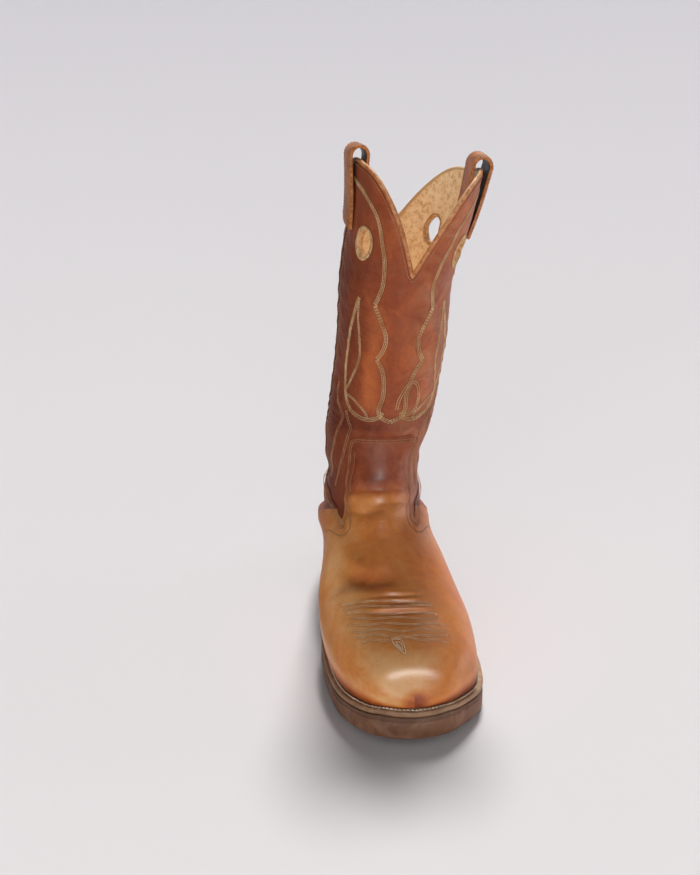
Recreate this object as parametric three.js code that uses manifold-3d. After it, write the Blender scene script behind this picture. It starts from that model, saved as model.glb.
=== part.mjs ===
// A welted western pull-on boot for the left foot, built in layers the way a bootmaker builds it.
// Millimetres, +Z up, toe towards -Y, outer side of the foot towards +X. The ground is z = 0.
import * as THREE from 'three';
import { mergeVertices } from 'three/addons/utils/BufferGeometryUtils.js';
import Module from 'manifold-3d';

const wasm = await Module();
wasm.setup();

// ---- driving dimensions ----
const PEAK_Z = 321;          // nominal height of the shaft, for its lean and its pull straps
const RIM_Z = 330;           // crests of the top edge, just in front of the side seams
const FRONT_DIP = 63;        // how far the front scallop falls below the crests
const BACK_DROP = 12;        // how much lower the edge runs behind the side seams
const BACK_DIP = 53;         // how far the back scallop falls below that
const SHAFT_LEAN = 27;       // sideways drift of the shaft's top over the ankle, towards the outer side
const SHAFT_TILT = 0.11;     // slope of the shaft's top that the lean brings with it, down to the outer side
const LEATHER = 1.8;         // upper leather
const LINING = 1.2;          // lining leather
const GAP = 0.3;             // air between neighbouring layers
const SOLE_GAP = 0.6;        // the same between the curved layers of the sole
const SEAT_Z = 39;           // underside of the foot at the heel
const TREAD_Z = 18;          // underside of the foot at the ball
const TOE_SPRING = 4;        // lift of the sole's underside at the toe tip
const WELT_T = 3.7;
const MIDSOLE_T = 2.7;
const HEEL_OUTSOLE_T = 5;    // outsole over the heel; under the ball it fills the height down to the ground
const BREAST_Y = 14;         // front face of the heel
const LIFT_COUNT = 3;
const LIFT_T = 6.2;
const NAIL_R = 1.3;
const STRAP_W = 30;          // pull strap width
const STRAP_T = 2.4;         // pull strap thickness, two layers sewn back to back
const STRAP_LEG = 38;        // how far each strap leg reaches below the peak
const HOLE_W = 14;           // clear width of a finger hole
const HOLE_H = 19;           // clear height of a finger hole
const HOLE_Z = 280;          // height of the front finger holes' centres; the back pair sits lower
const BACK_HOLE_DROP = 11;
const HOLE_A = 0.29;         // place of the front finger holes round the shaft, from the front
const BACK_HOLE_A = 0.235;   // place of the back pair, from the back
const EDGING = 1.3;          // leather edging round each finger hole
const SEAM_A = 0.5;          // place of the side seams round the shaft
const SEAM_HALF = 0.0095;    // half the slot that the side piping fills

// ---- the boot's surface ----
// A station is one slanting cut through the boot: a point on the front line, a point on the back line
// (or, from the heel on, on the foot line at each side), and a handle at each that bulges the side out.
// Handles of w / 0.75 make a cut w wide to each side.
const BULGE = 1 / 0.75;

// Sideways centre of the shaft at a height.
const centreX = z => SHAFT_LEAN * Math.max(0, (z - 105) / (PEAK_Z - 105));

function shaftStation(frontY, frontZ, backY, backZ, outerWidth, innerWidth, ridge, frontX = 0) {
  const tilt = SHAFT_TILT * THREE.MathUtils.smoothstep(frontZ, 120, PEAK_Z);
  const point = (y, z, across) => [centreX(z) + across, y, z - tilt * across];
  const side = across => ({
    front: point(frontY, frontZ, frontX),
    back: point(backY, backZ, 0),
    frontHandle: point(frontY, frontZ, frontX + across * ridge),
    backHandle: point(backY, backZ, across * (2 - ridge)),
  });
  return { outer: side(outerWidth * BULGE), inner: side(-innerWidth * BULGE) };
}

function footStation(topX, topY, topZ, topHalf, midX, footY, footZ, outerX, innerX, outerBulge, innerBulge,
  rise, reach = 0) {
  const side = (s, x, bulge) => ({
    front: [topX, topY, topZ],
    frontHandle: [topX + s * topHalf, topY, topZ],
    backHandle: [midX + s * (x + bulge), footY + reach, footZ + rise],
    back: [midX + s * x, footY, footZ],
  });
  return { outer: side(1, outerX, outerBulge), inner: side(-1, innerX, innerBulge) };
}

const FIRST_FOOT = 9;        // index of the first station that ends on the foot line, at the heel's back
const STATIONS = [
  //           front         back       outer  inner half-widths
  shaftStation(-62, 347, 62, 347, 45.5, 45.5, 0.94),
  shaftStation(-61, 300, 62, 300, 42, 42, 0.94),
  shaftStation(-59, 250, 61, 250, 39, 40, 0.94),
  shaftStation(-55, 200, 59, 200, 37.5, 38.5, 0.95, -1),
  shaftStation(-51, 162, 58, 152, 37, 37.5, 0.98, -2),
  shaftStation(-51, 145, 59, 122, 35.5, 37, 1, -3),
  shaftStation(-54, 132, 64, 96, 31.5, 34, 1, -4),
  shaftStation(-59, 122, 70, 73, 31.5, 32.5, 1, -5),
  shaftStation(-65, 113, 75.5, 54, 33, 33, 1, -5),
  //          top of the foot  foot line                      bulge above the foot line
  footStation(-5, -71, 107, 43,    0, 76, SEAT_Z, 0, 0,       43, 43, 6, 2),
  footStation(-5, -75, 104, 43,    0, 73, SEAT_Z, 14, 14,     25, 26, 8),
  footStation(-5, -80, 100, 43,    0, 61, SEAT_Z, 25.5, 25.5, 16, 16, 13),
  footStation(-5, -88, 95, 43,     0, 33, SEAT_Z, 31, 30.5,   11, 12, 20),
  footStation(-5, -98, 89, 43,     -1, -4, 36.6, 32.5, 29.5,  8, 12, 26),
  footStation(-4, -110, 83, 43,    -1, -44, 28.6, 39, 34,     8, 11.5, 31),
  footStation(-3, -124, 77, 42,    0, -84, 20.4, 46.5, 41,    6.5, 12, 32),
  footStation(-1, -141, 71, 42,    1, -117, TREAD_Z, 51, 43.5, 3, 12, 31),
  footStation(1, -160, 65, 40,     2.5, -147, TREAD_Z, 50, 43, 2, 10.5, 29),
  footStation(3.5, -180, 58, 36,   4, -175, 20, 43, 38,       3, 6.5, 25, -4),
  footStation(4.5, -197, 48, 25,   4.5, -197, 22.7, 25.5, 25.5, 4, 5, 18, -6),
  footStation(5, -204.5, 38, 14,   5, -205.5, 24.4, 12.5, 12.5, 3, 3, 8, -4),
  footStation(5, -207.5, 32, 0.12,   5, -208, 25.2, 0.12, 0.12, 0, 0, 1),
];
const LAST = STATIONS.length - 1;

const rail = (side, key) =>
  new THREE.CatmullRomCurve3(STATIONS.map(s => new THREE.Vector3(...s[side][key])), false, 'catmullrom', 0.5);
const RAILS = {};
for (const side of ['outer', 'inner']) {
  RAILS[side] = ['front', 'frontHandle', 'backHandle', 'back'].map(key => rail(side, key));
}

// The surface at round position a (0 front, 0.5 side seam, 1 back or foot line, negative on the
// inner side, past 1 going on round the back) and station v. The back line keeps to the middle, and the
// foot line is level round the heel.
function surface(a, v) {
  if (a > 1) a -= 2;
  if (a < -1) a += 2;
  const side = a >= 0 ? 'outer' : 'inner';
  const t = Math.abs(a);
  const [p0, p1, p2, p3] = RAILS[side].map(curve => curve.getPoint(THREE.MathUtils.clamp(v / LAST, 0, 1)));
  if (v > FIRST_FOOT && v < FIRST_FOOT + 1) p3.setZ(SEAT_Z);
  if (v < FIRST_FOOT) p3.setX(centreX(p3.z));
  const s = 1 - t;
  return p0.multiplyScalar(s * s * s)
    .addScaledVector(p1, 3 * s * s * t)
    .addScaledVector(p2, 3 * s * t * t)
    .addScaledVector(p3, t * t * t);
}

// A point at a depth under the surface; a negative depth is outside it. Along the foot line the leather
// stands upright, so that every layer ends on the same level.
function skin(place, v, depth) {
  const a = place > 1 ? place - 2 : place;
  const e = 0.004;
  const edge = v > FIRST_FOOT ? 1 : 2;
  const point = surface(a, v);
  const along = surface(a, Math.min(v + 0.05, LAST - 0.001)).sub(surface(a, Math.max(v - 0.05, 0)));
  const round = surface(Math.min(a + e, edge), v).sub(surface(Math.max(a - e, -edge), v));
  const normal = round.cross(along).normalize();
  const onFootLine = THREE.MathUtils.smoothstep(Math.abs(a), 0.86, 1)
    * THREE.MathUtils.smoothstep(v, FIRST_FOOT - 0.7, FIRST_FOOT);
  normal.z *= 1 - onFootLine;
  return point.addScaledVector(normal.normalize(), depth);
}

// Station at which the surface at round position a reaches a height up the shaft, measured on its tilt.
function levelAt(a, height) {
  let low = 0;
  let high = 8.5;
  for (let i = 0; i < 26; i++) {
    const mid = (low + high) / 2;
    const { x, z } = surface(a, mid);
    if (z + SHAFT_TILT * (x - centreX(z)) > height) low = mid; else high = mid;
  }
  return (low + high) / 2;
}

// ---- solids ----
// A closed solid through rings of points; each ring runs the same way round.
function loft(rings, closed = false) {
  const n = rings[0].length;
  const m = rings.length;
  const position = [];
  const index = [];
  for (const ring of rings) for (const p of ring) position.push(p.x, p.y, p.z);
  for (let i = 0; i < (closed ? m : m - 1); i++) {
    for (let j = 0; j < n; j++) {
      const a = i * n + j;
      const b = i * n + (j + 1) % n;
      const c = ((i + 1) % m) * n + j;
      const d = ((i + 1) % m) * n + (j + 1) % n;
      // Both faces of a strip split along the same diagonal, so that layers nest without touching.
      if (j < n / 2) index.push(a, c, b, b, c, d);
      else index.push(a, c, d, a, d, b);
    }
  }
  if (!closed) {
    // A ring is a thin strip, first half one way and second half back, so its cap is a ladder.
    const cap = (start, flip) => {
      for (let j = 0; j < n / 2 - 1; j++) {
        const a = start + j;
        const b = start + j + 1;
        const c = start + n - 1 - j;
        const d = start + n - 2 - j;
        if (flip) index.push(a, c, b, b, c, d);
        else index.push(a, b, c, b, d, c);
      }
    };
    cap(0, false);
    cap((m - 1) * n, true);
  }
  const geometry = new THREE.BufferGeometry();
  geometry.setAttribute('position', new THREE.Float32BufferAttribute(position, 3));
  geometry.setIndex(index);
  return tidy(geometry);
}

// Merges equal points, drops flat triangles and turns the faces outwards.
function tidy(geometry) {
  const merged = mergeVertices(geometry, 1e-3);
  const p = merged.attributes.position.array;
  const kept = [];
  const at = i => new THREE.Vector3(p[3 * i], p[3 * i + 1], p[3 * i + 2]);
  let volume = 0;
  for (let i = 0; i < merged.index.count; i += 3) {
    const [a, b, c] = [0, 1, 2].map(k => merged.index.array[i + k]);
    if (a === b || b === c || a === c) continue;
    kept.push(a, b, c);
    volume += at(a).dot(at(b).cross(at(c)));
  }
  if (volume < 0) kept.reverse();
  merged.setIndex(kept);
  return merged;
}

function toSolid(geometry) {
  return new wasm.Manifold(new wasm.Mesh({
    numProp: 3,
    vertProperties: geometry.attributes.position.array,
    triVerts: new Uint32Array(geometry.index.array),
  }));
}

function toGeometry(solid) {
  const mesh = solid.getMesh();
  const geometry = new THREE.BufferGeometry();
  geometry.setAttribute('position', new THREE.BufferAttribute(mesh.vertProperties, 3));
  geometry.setIndex(new THREE.BufferAttribute(mesh.triVerts, 1));
  return geometry;
}

const cut = (geometry, ...cutters) =>
  toGeometry(cutters.reduce((solid, cutter) => solid.subtract(toSolid(cutter)), toSolid(geometry)));

const mirrored = list => [...list.slice(1).reverse().map(a => -a), ...list];
const range = (from, to, count) => Array.from({ length: count + 1 }, (_, i) => from + (to - from) * i / count);

// A grid over the surface: each column runs from [a, v] to [a, v] in rows. Rows settle to level lines
// away from the edges, the sooner the larger settle is.
function gridOver(columns, rows, settle = 1) {
  const mean = k => columns.reduce((sum, column) => sum + column[k][1], 0) / columns.length;
  const [v0, v1] = [mean(0), mean(1)];
  const row = (start, end, t) => THREE.MathUtils.lerp(v0, v1, t)
    + (start - v0) * (1 - t) ** settle + (end - v1) * t ** settle;
  return columns.map(([start, end]) => range(0, 1, rows).map(t =>
    [THREE.MathUtils.lerp(start[0], end[0], t), row(start[1], end[1], t)]));
}

// A layer of leather over a grid, from its row skip downwards; depth gives the outer and inner depth at
// a point. Layers that share a grid nest exactly.
function layer(grid, depth, skip = 0) {
  return loft(grid.map(column => {
    const face = k => column.slice(skip).map(([a, v]) => skin(a, v, depth(a, v)[k]));
    return [...face(0), ...face(1).reverse()];
  }));
}

// Columns of one round position each, from station top(a) to station bottom(a).
const upright = (places, top, bottom) => places.map(a => [[a, top(a)], [a, bottom(a)]]);

// ---- outlines in round position and station ----
// Top edge of the shaft: a deep scallop at the front and back, with a rounded crest at each side between.
function scallopHeight(a) {
  const t = Math.abs(a > 1 ? a - 2 : a);
  const back = THREE.MathUtils.smoothstep(t, 0.4, 0.7);
  const dip = THREE.MathUtils.lerp(FRONT_DIP, BACK_DIP, back);
  return RIM_Z - BACK_DROP * back - dip * Math.max(0, 1 - Math.min(t, 1 - t) / 0.36) ** 2.2;
}
const shaftTop = a => levelAt(a, scallopHeight(a));

// A smooth curve through [a, v] pairs, read at |a|.
function outline(points) {
  const xs = points.map(p => p[0]);
  return a => {
    const t = Math.abs(a > 1 ? a - 2 : a);
    let i = 0;
    while (i < xs.length - 2 && t > xs[i + 1]) i++;
    const f = THREE.MathUtils.clamp((t - xs[i]) / (xs[i + 1] - xs[i]), 0, 1);
    return THREE.MathUtils.lerp(points[i][1], points[i + 1][1], THREE.MathUtils.smoothstep(f, 0, 1));
  };
}

const TONGUE_A = 0.2;        // half the tongue's width round the boot
const CREASE = 7.9;          // station of the ankle crease, where the tongue leaves the vamp
const NOTCH_A = 0.26;        // middle of the notch beside the tongue, where the side seam runs down
const NOTCH_V = 11.4;
// Upper edge of vamp and counter: crease at the front, the notch, then the counter's top round the back.
const footTop = outline([[0, CREASE], [TONGUE_A, CREASE + 0.15], [NOTCH_A - 0.02, NOTCH_V], [NOTCH_A + 0.02, NOTCH_V],
  [0.34, 9], [0.42, 7.9], [0.55, 7.1], [0.75, 6.8], [1, 6.3]]);
const LAP = 0.5;             // how far the shaft reaches down inside the foot, in stations
const TUCK = 3;              // how far it steps inwards there
const FRONT_TUCK = 1.6;      // how much further at the front, where it travels most as the ankle flexes
const shaftBottom = a => footTop(a) + LAP;

const FRONT_A = mirrored([0, 0.05, 0.1, 0.15, TONGUE_A, NOTCH_A - 0.02, NOTCH_A + 0.02, 0.34, 0.42,
  SEAM_A - SEAM_HALF]);
const BACK_A = mirrored([0, 0.05, 0.1, 0.15, 0.2, 0.27, 0.34, 0.42, SEAM_A - SEAM_HALF]).map(a => 1 + a);

// Depths of a shaft layer: its lapped foot tucks inwards, clear of the vamp and counter.
function tucked(from, to) {
  return (a, v) => {
    const full = TUCK + FRONT_TUCK * (1 - THREE.MathUtils.smoothstep(Math.abs(a), 0.25, 0.45));
    const tuck = full * THREE.MathUtils.smoothstep(v, footTop(a) - 0.7, footTop(a) + 0.15);
    return [from + tuck, to + tuck];
  };
}

const material = (color, roughness, metalness = 0) =>
  new THREE.MeshStandardMaterial({ color, roughness, metalness });
const TAN = material(0x9a4f27, 0.45);
const VAMP_TAN = material(0xb5662b, 0.4);
const LINING_TAN = material(0xb99a66, 0.75);
const EDGE_TAN = material(0xb8702f, 0.55);
const WELT_TAN = material(0xa9835b, 0.65);
const STACK = material(0x7a4e34, 0.6);
const DARK = material(0x2a2320, 0.7);
const RUBBER = material(0x6b4636, 0.7);
const CORK = material(0xb08050, 0.95);
const BOARD = material(0xa9895f, 0.8);
const STEEL = material(0x9a9da2, 0.35, 1);
const BRASS = material(0xb0903f, 0.35, 1);

const boot = new THREE.Group();
function add(name, geometry, look) {
  const mesh = new THREE.Mesh(geometry, look);
  mesh.name = name;
  boot.add(mesh);
  return mesh;
}

// ---- shaft ----
// Points of an oval round a finger hole's centre, as round position and height.
function holeRing({ a: a0, height }, grow) {
  const halfA = (HOLE_W / 2 + grow) / 150;
  return range(0, 2 * Math.PI, 20).slice(0, 20).map(t =>
    [a0 + halfA * Math.cos(t), height + (HOLE_H / 2 + grow) * Math.sin(t)]);
}
const atDepth = ([a, height], depth) => skin(a, levelAt(a, height), depth);

// An oval plug through the whole wall, to cut a finger hole.
function holePlug(hole) {
  const ring = depth => holeRing(hole, EDGING + GAP).map(p => atDepth(p, depth));
  const centre = points => points.reduce((sum, p) => sum.add(p), new THREE.Vector3()).divideScalar(points.length);
  const [near, far] = [ring(-6), ring(9)];
  const [nearMiddle, farMiddle] = [centre(near), centre(far)];
  const position = [];
  near.forEach((p, i) => {
    const j = (i + 1) % near.length;
    const faces = [p, far[i], near[j], near[j], far[i], far[j], nearMiddle, p, near[j], farMiddle, far[j], far[i]];
    for (const q of faces) position.push(q.x, q.y, q.z);
  });
  const geometry = new THREE.BufferGeometry();
  geometry.setAttribute('position', new THREE.Float32BufferAttribute(position, 3));
  return tidy(geometry);
}

// The leather edging that wraps the hole's rim, from outside the shaft to inside the lining.
function holeEdging(hole) {
  const wide = holeRing(hole, EDGING);
  const slim = holeRing(hole, 0);
  const sections = wide.map((p, i) =>
    [atDepth(p, -0.5), atDepth(p, liningTo + 0.5), atDepth(slim[i], liningTo + 0.5), atDepth(slim[i], -0.5)]);
  return loft(sections, true);
}

const HOLES = {
  front_outer: { a: HOLE_A, height: HOLE_Z },
  front_inner: { a: -HOLE_A, height: HOLE_Z },
  back_outer: { a: 1 - BACK_HOLE_A, height: HOLE_Z - BACK_HOLE_DROP },
  back_inner: { a: 1 + BACK_HOLE_A, height: HOLE_Z - BACK_HOLE_DROP },
};
const plugsFor = end => Object.keys(HOLES).filter(k => k.startsWith(end)).map(k => holePlug(HOLES[k]));

const liningFrom = LEATHER + GAP;
const liningTo = liningFrom + LINING;

const frontGrid = gridOver(upright(FRONT_A, shaftTop, shaftBottom), 11, 3);
const backGrid = gridOver(upright(BACK_A, shaftTop, shaftBottom), 11, 3);
const [frontPlugs, backPlugs] = ['front', 'back'].map(plugsFor);
const leather = tucked(0, LEATHER);
const lining = tucked(liningFrom, liningTo);
add('shaft_front', cut(layer(frontGrid, leather), ...frontPlugs), TAN);
add('shaft_back', cut(layer(backGrid, leather), ...backPlugs), TAN);
add('shaft_lining_front', cut(layer(frontGrid, lining), ...frontPlugs), LINING_TAN);
add('shaft_lining_back', cut(layer(backGrid, lining), ...backPlugs), LINING_TAN);
for (const place in HOLES) add(`finger_hole_edging_${place}`, holeEdging(HOLES[place]), EDGE_TAN);

// Piping in the side seams, from under the pull straps to the counter's edge.
const PIPING_TOP = PEAK_Z - STRAP_LEG - 1;
for (const [side, sign] of [['outer', 1], ['inner', -1]]) {
  const half = SEAM_HALF - 0.002;
  const columns = [-half, half].map(d => sign * (SEAM_A + d));
  const grid = gridOver(upright(columns, a => levelAt(a, PIPING_TOP), a => footTop(a) - 0.45), 16);
  const piping = layer(grid, () => [-1, LEATHER]);
  add(`side_piping_${side}`, piping, TAN);
}

// Binding along the top edge: a strip that sits on the edges of leather and lining.
function binding(places) {
  return loft(places.map(a => {
    const at = (lift, depth) => atDepth([a, scallopHeight(a) + lift], depth);
    return [at(0.6, -0.6), at(2.8, -0.3), at(2.8, liningTo), at(0.6, liningTo + 0.3)];
  }));
}
add('top_binding_front', binding(FRONT_A), EDGE_TAN);
add('top_binding_back', binding(BACK_A), EDGE_TAN);

// ---- pull straps ----
// Each strap is a hairpin over the top edge. Its legs meet the shaft at their lower ends and spread
// upwards, which leaves the slack that lets it rock.
const STRAP_SLOPE = 0.06;    // spread of each leg per millimetre of height
const CROWN_RISE = 9;        // height of the strap's crown over the rim's crests
function pullStrap(sign) {
  const wall = liningTo;
  const middle = wall / 2;
  const foot = PEAK_Z - STRAP_LEG;
  const spread = z => (z - foot) * STRAP_SLOPE;
  const reach = middle + GAP + spread(RIM_Z);
  const crown = CROWN_RISE - STRAP_T;
  const path = [];
  for (const z of range(foot, RIM_Z, 5)) path.push([middle - reach + spread(RIM_Z) - spread(z), z, 1]);
  for (const t of range(0, Math.PI, 8).slice(1, -1)) {
    path.push([middle - reach * Math.cos(t), RIM_Z + crown * Math.sin(t), t]);
  }
  for (const z of range(RIM_Z, foot, 5)) path.push([middle + reach - spread(RIM_Z) + spread(z), z, 1]);
  const thick = path.map(([d, z], i) => {
    const [d0, z0] = path[Math.max(0, i - 1)];
    const [d1, z1] = path[Math.min(path.length - 1, i + 1)];
    const length = Math.hypot(d1 - d0, z1 - z0);
    return [d - (z1 - z0) / length * STRAP_T, z + (d1 - d0) / length * STRAP_T];
  });
  const across = range(-1, 1, 4).map(k => sign * (SEAM_A + k * STRAP_W / 2 / 158));
  return loft(path.map(([d, z], i) => {
    const inner = across.map(a => skin(a, levelAt(a, Math.min(z, 346)), d));
    const outer = across.map(a => skin(a, levelAt(a, Math.min(thick[i][1], 346)), thick[i][0]));
    return [...inner, ...outer.reverse()];
  }));
}
add('pull_strap_outer', pullStrap(1), TAN);
add('pull_strap_inner', pullStrap(-1), TAN);

// ---- tongue, vamp and counter ----
const OVER = -(LEATHER + GAP);                     // outer face of leather that laps over the shaft
const CREASE_GAP = 0.75;                           // the crease's slack, in stations
const over = () => [OVER, -GAP];
const tongueTop = a => 4.8 + 0.22 * THREE.MathUtils.smoothstep(Math.abs(a), 0.11, TONGUE_A);
const tongueA = mirrored([0, 0.05, 0.1, 0.15, TONGUE_A - 0.005]);
const tongueGrid = gridOver(upright(tongueA, tongueTop, () => CREASE - CREASE_GAP), 5);
add('vamp_tongue', layer(tongueGrid, () => [OVER - 0.2, -GAP - 0.2]), VAMP_TAN);

// The seam between vamp and counter slants from behind the notch down to the foot line.
const SEAM_TOP_A = 0.3;
const SEAM_FOOT_V = 13.6;
const seamTopV = footTop(SEAM_TOP_A);
const seamV = a => THREE.MathUtils.mapLinear(a, SEAM_TOP_A, 1, seamTopV, SEAM_FOOT_V);
const TIP = LAST - 0.02;

const VAMP_A = [0, 0.07, 0.14, TONGUE_A, NOTCH_A - 0.02, NOTCH_A + 0.02, SEAM_TOP_A, 0.38, 0.47, 0.57, 0.68, 0.8,
  0.9, 1];
const vampStart = a => Math.abs(a) < SEAM_TOP_A ? footTop(a) : seamV(Math.abs(a)) + 0.04;
const vampGrid = gridOver(upright(mirrored(VAMP_A), vampStart, () => TIP), 15, 1.8);
add('vamp', layer(vampGrid, over), VAMP_TAN);

// A grid fanned round the heel, seam to seam, from the counter's top edge to the foot line.
function heelGrid() {
  const half = range(0, 1, 10).map(t => {
    const a = THREE.MathUtils.lerp(SEAM_TOP_A, 1, t);
    return [[a, footTop(a)], [1, THREE.MathUtils.lerp(SEAM_FOOT_V - 0.04, FIRST_FOOT, t)]];
  });
  const inner = half.slice(0, -1).reverse().map(column => column.map(([a, v]) => [-a, v]));
  return gridOver([...half, ...inner], 8);
}
const counterGrid = heelGrid();
add('heel_counter', layer(counterGrid, over), VAMP_TAN);

// ---- inside the foot ----
const STIFFENER = [0.45, 1.6];
const FOOT_LINING = [STIFFENER[1] + 0.8, STIFFENER[1] + 0.8 + LINING];
add('vamp_lining', layer(vampGrid, () => FOOT_LINING, 3), LINING_TAN);
add('heel_lining', layer(counterGrid, () => FOOT_LINING, 4), LINING_TAN);

// The stiff cap inside the toe and the stiff counter round the heel, between leather and lining.
add('toe_box', layer(vampGrid, () => STIFFENER, 11), BOARD);
add('counter_stiffener', layer(counterGrid, () => STIFFENER, 3), BOARD);

// ---- sole ----
// Height of the foot line at a place along the boot.
const footLine = range(FIRST_FOOT, LAST, 80).map(v => surface(1, v));
function along(points, y, pick) {
  let i = 0;
  while (i < points.length - 2 && points[i + 1].y > y) i++;
  const t = THREE.MathUtils.clamp((y - points[i].y) / (points[i + 1].y - points[i].y), 0, 1);
  return THREE.MathUtils.lerp(pick(points[i]), pick(points[i + 1]), t);
}
const baseZ = y => along(footLine, y, p => p.z);

// Points of the foot line from the heel's back to the toe on one side, moved outwards in plan.
const SOLE_V = [9, 9.25, 9.6, 10, 10.5, 11, 11.5, 12, 12.6, 13.3, 14, 14.7, 15.3, 16, 16.6, 17.2, 17.8, 18.4, 19,
  19.5, 20, 20.5, 20.98];
function soleSide(sign, out) {
  return SOLE_V.map(v => {
    const here = surface(sign, v);
    const ahead = surface(sign, Math.min(v + 0.04, LAST - 0.001));
    const behind = surface(sign, Math.max(v - 0.04, FIRST_FOOT));
    const tangent = ahead.sub(behind);
    tangent.z = 0;
    if (v === SOLE_V[0]) tangent.set(sign, 0, 0);
    if (v === SOLE_V.at(-1)) tangent.set(-sign, 0, 0);
    tangent.normalize();
    const reach = typeof out === 'function' ? out(here.y) : out;
    return new THREE.Vector3(here.x - sign * tangent.y * reach, here.y + sign * tangent.x * reach, here.z);
  });
}

// A closed ring of the sole's outline at an outset, its height a function of y; with a breast, only the
// part behind that place.
function soleRing(out, height, breast = -Infinity) {
  const sides = [soleSide(1, out), soleSide(-1, out)];
  const kept = SOLE_V.findLastIndex((_, i) => sides.every(side => side[i].y > breast)) + 1;
  const [outer, inner] = sides.map(side => {
    const points = side.slice(0, kept);
    if (kept < side.length) points.push(new THREE.Vector3(along(side, breast, p => p.x), breast, 0));
    return points;
  });
  return [...outer, ...inner.reverse()].map(p => p.setZ(height(p.y)));
}
const plate = (...rings) => loft(rings);
const under = drop => y => baseZ(y) - drop;

// How far the welt stands out past the foot line.
const weltOut = y => 5 + 2.4 * THREE.MathUtils.smoothstep(-y, 130, 205) - 1.2 * THREE.MathUtils.smoothstep(y, -60, 0);
const shrunk = by => y => weltOut(y) - by;
const WELT_TOP = SOLE_GAP;
const WELT_BOTTOM = WELT_TOP + WELT_T;
const MIDSOLE_TOP = WELT_BOTTOM + SOLE_GAP;
const OUTSOLE_TOP = MIDSOLE_TOP + MIDSOLE_T + SOLE_GAP;

// A band that runs all round the sole; each corner of its section is [outset, drop below the foot line].
function soleBand(corners) {
  const rings = corners.map(([out, drop]) => soleRing(out, under(drop)));
  const sections = rings[0].map((_, i) => rings.map(ring => ring[i]));
  const doubled = [SOLE_V.length, 2 * SOLE_V.length - 1];
  return loft(sections.filter((_, i) => i === 0 || !doubled.includes(i)), true);
}
const weltInner = -2.6;
add('welt', soleBand([[weltInner, WELT_TOP], [shrunk(0.8), WELT_TOP], [weltOut, WELT_TOP + 0.9],
  [weltOut, WELT_BOTTOM - 0.6], [shrunk(0.6), WELT_BOTTOM], [weltInner, WELT_BOTTOM]]), WELT_TAN);
add('insole_rib', soleBand([[-5.2, GAP], [-2.9, GAP], [-2.9, WELT_BOTTOM], [-5.2, WELT_BOTTOM]]), BOARD);
add('midsole', plate(soleRing(shrunk(1.6), under(MIDSOLE_TOP)), soleRing(shrunk(1.6), under(MIDSOLE_TOP + MIDSOLE_T))),
  DARK);

const inset = -(FOOT_LINING[1] + 2 * SOLE_GAP);
add('insole', plate(soleRing(inset, under(-3)), soleRing(inset, under(0))), BOARD);
add('sock_liner', plate(soleRing(inset - 0.8, under(-3 - GAP - 1.4)), soleRing(inset - 0.8, under(-3 - GAP))),
  LINING_TAN);

// The steel shank lies in a groove in the cork, from under the heel to the waist.
const SHANK = { from: 30, to: -66, half: 7, thick: 1.6 };
function shankStrip(grow, top) {
  return loft(range(SHANK.from + grow, SHANK.to - grow, 12).map(y => {
    const x = SHANK.half + grow;
    const corner = (across, drop) => new THREE.Vector3(across, y, baseZ(y) - drop);
    return [corner(-x, top), corner(x, top), corner(x, 0.8 + SHANK.thick + grow), corner(-x, 0.8 + SHANK.thick + grow)];
  }));
}
add('shank', shankStrip(0, 0.8), STEEL);
const cork = plate(soleRing(-5.5, under(GAP)), soleRing(-5.5, under(WELT_BOTTOM)));
add('cork_filler', cut(cork, shankStrip(GAP, -2)), CORK);

// Underside of the outsole: thin over the heel and waist, flat on the ground under the ball, sprung at the toe.
const TREAD = { back: -104, front: -150 };
const HEEL_TOP = SEAT_Z - OUTSOLE_TOP - HEEL_OUTSOLE_T;
function treadZ(y) {
  if (y < TREAD.front) return TOE_SPRING * ((TREAD.front - y) / 65) ** 1.7;
  if (y < TREAD.back) return 0;
  const t = THREE.MathUtils.clamp((y - TREAD.back) / (BREAST_Y - 6 - TREAD.back), 0, 1);
  return HEEL_TOP * THREE.MathUtils.lerp(t, THREE.MathUtils.smoothstep(t, 0, 1), 0.75);
}
const lifted = by => y => treadZ(y) + by;
add('outsole', plate(soleRing(shrunk(0.6), under(OUTSOLE_TOP)), soleRing(weltOut, under(OUTSOLE_TOP + 0.8)),
  soleRing(shrunk(0), lifted(2.6)), soleRing(shrunk(0.9), lifted(0.8)), soleRing(shrunk(2.8), treadZ)), RUBBER);

// ---- heel ----
// Each lift is a horseshoe slab, a little smaller all round than the one above it.
const heelSlab = (top, thick) => {
  const taper = z => y => weltOut(y) - 0.6 - (HEEL_TOP - z) * 0.07;
  const breast = z => BREAST_Y + (HEEL_TOP - z) * 0.06;
  const ring = z => soleRing(taper(z), () => z, breast(z));
  return plate(ring(top), ring(top - thick));
};
const NAILS = [[0, 66], [-16, 58], [16, 58], [-18, 36], [18, 36]];
const NAIL_TOP = HEEL_TOP - 1.5;
function nail([x, y], radius, from, to) {
  const geometry = new THREE.CylinderGeometry(radius, radius, to - from, 14).rotateX(Math.PI / 2);
  return tidy(geometry.deleteAttribute('normal').deleteAttribute('uv').translate(x, y, (from + to) / 2));
}
const nailHoles = NAILS.map(place => nail(place, NAIL_R + GAP, -1, NAIL_TOP + GAP));
for (let i = 0; i < LIFT_COUNT; i++) {
  const top = HEEL_TOP - GAP - i * (LIFT_T + GAP);
  add(`heel_lift_${i + 1}`, cut(heelSlab(top, LIFT_T), ...nailHoles), STACK);
}
const topLiftT = HEEL_TOP - GAP - LIFT_COUNT * (LIFT_T + GAP);
add('top_lift', cut(heelSlab(topLiftT, topLiftT), ...nailHoles), DARK);
NAILS.forEach((place, i) => add(`heel_nail_${i + 1}`, nail(place, NAIL_R, 0.8, NAIL_TOP), BRASS));

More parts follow.
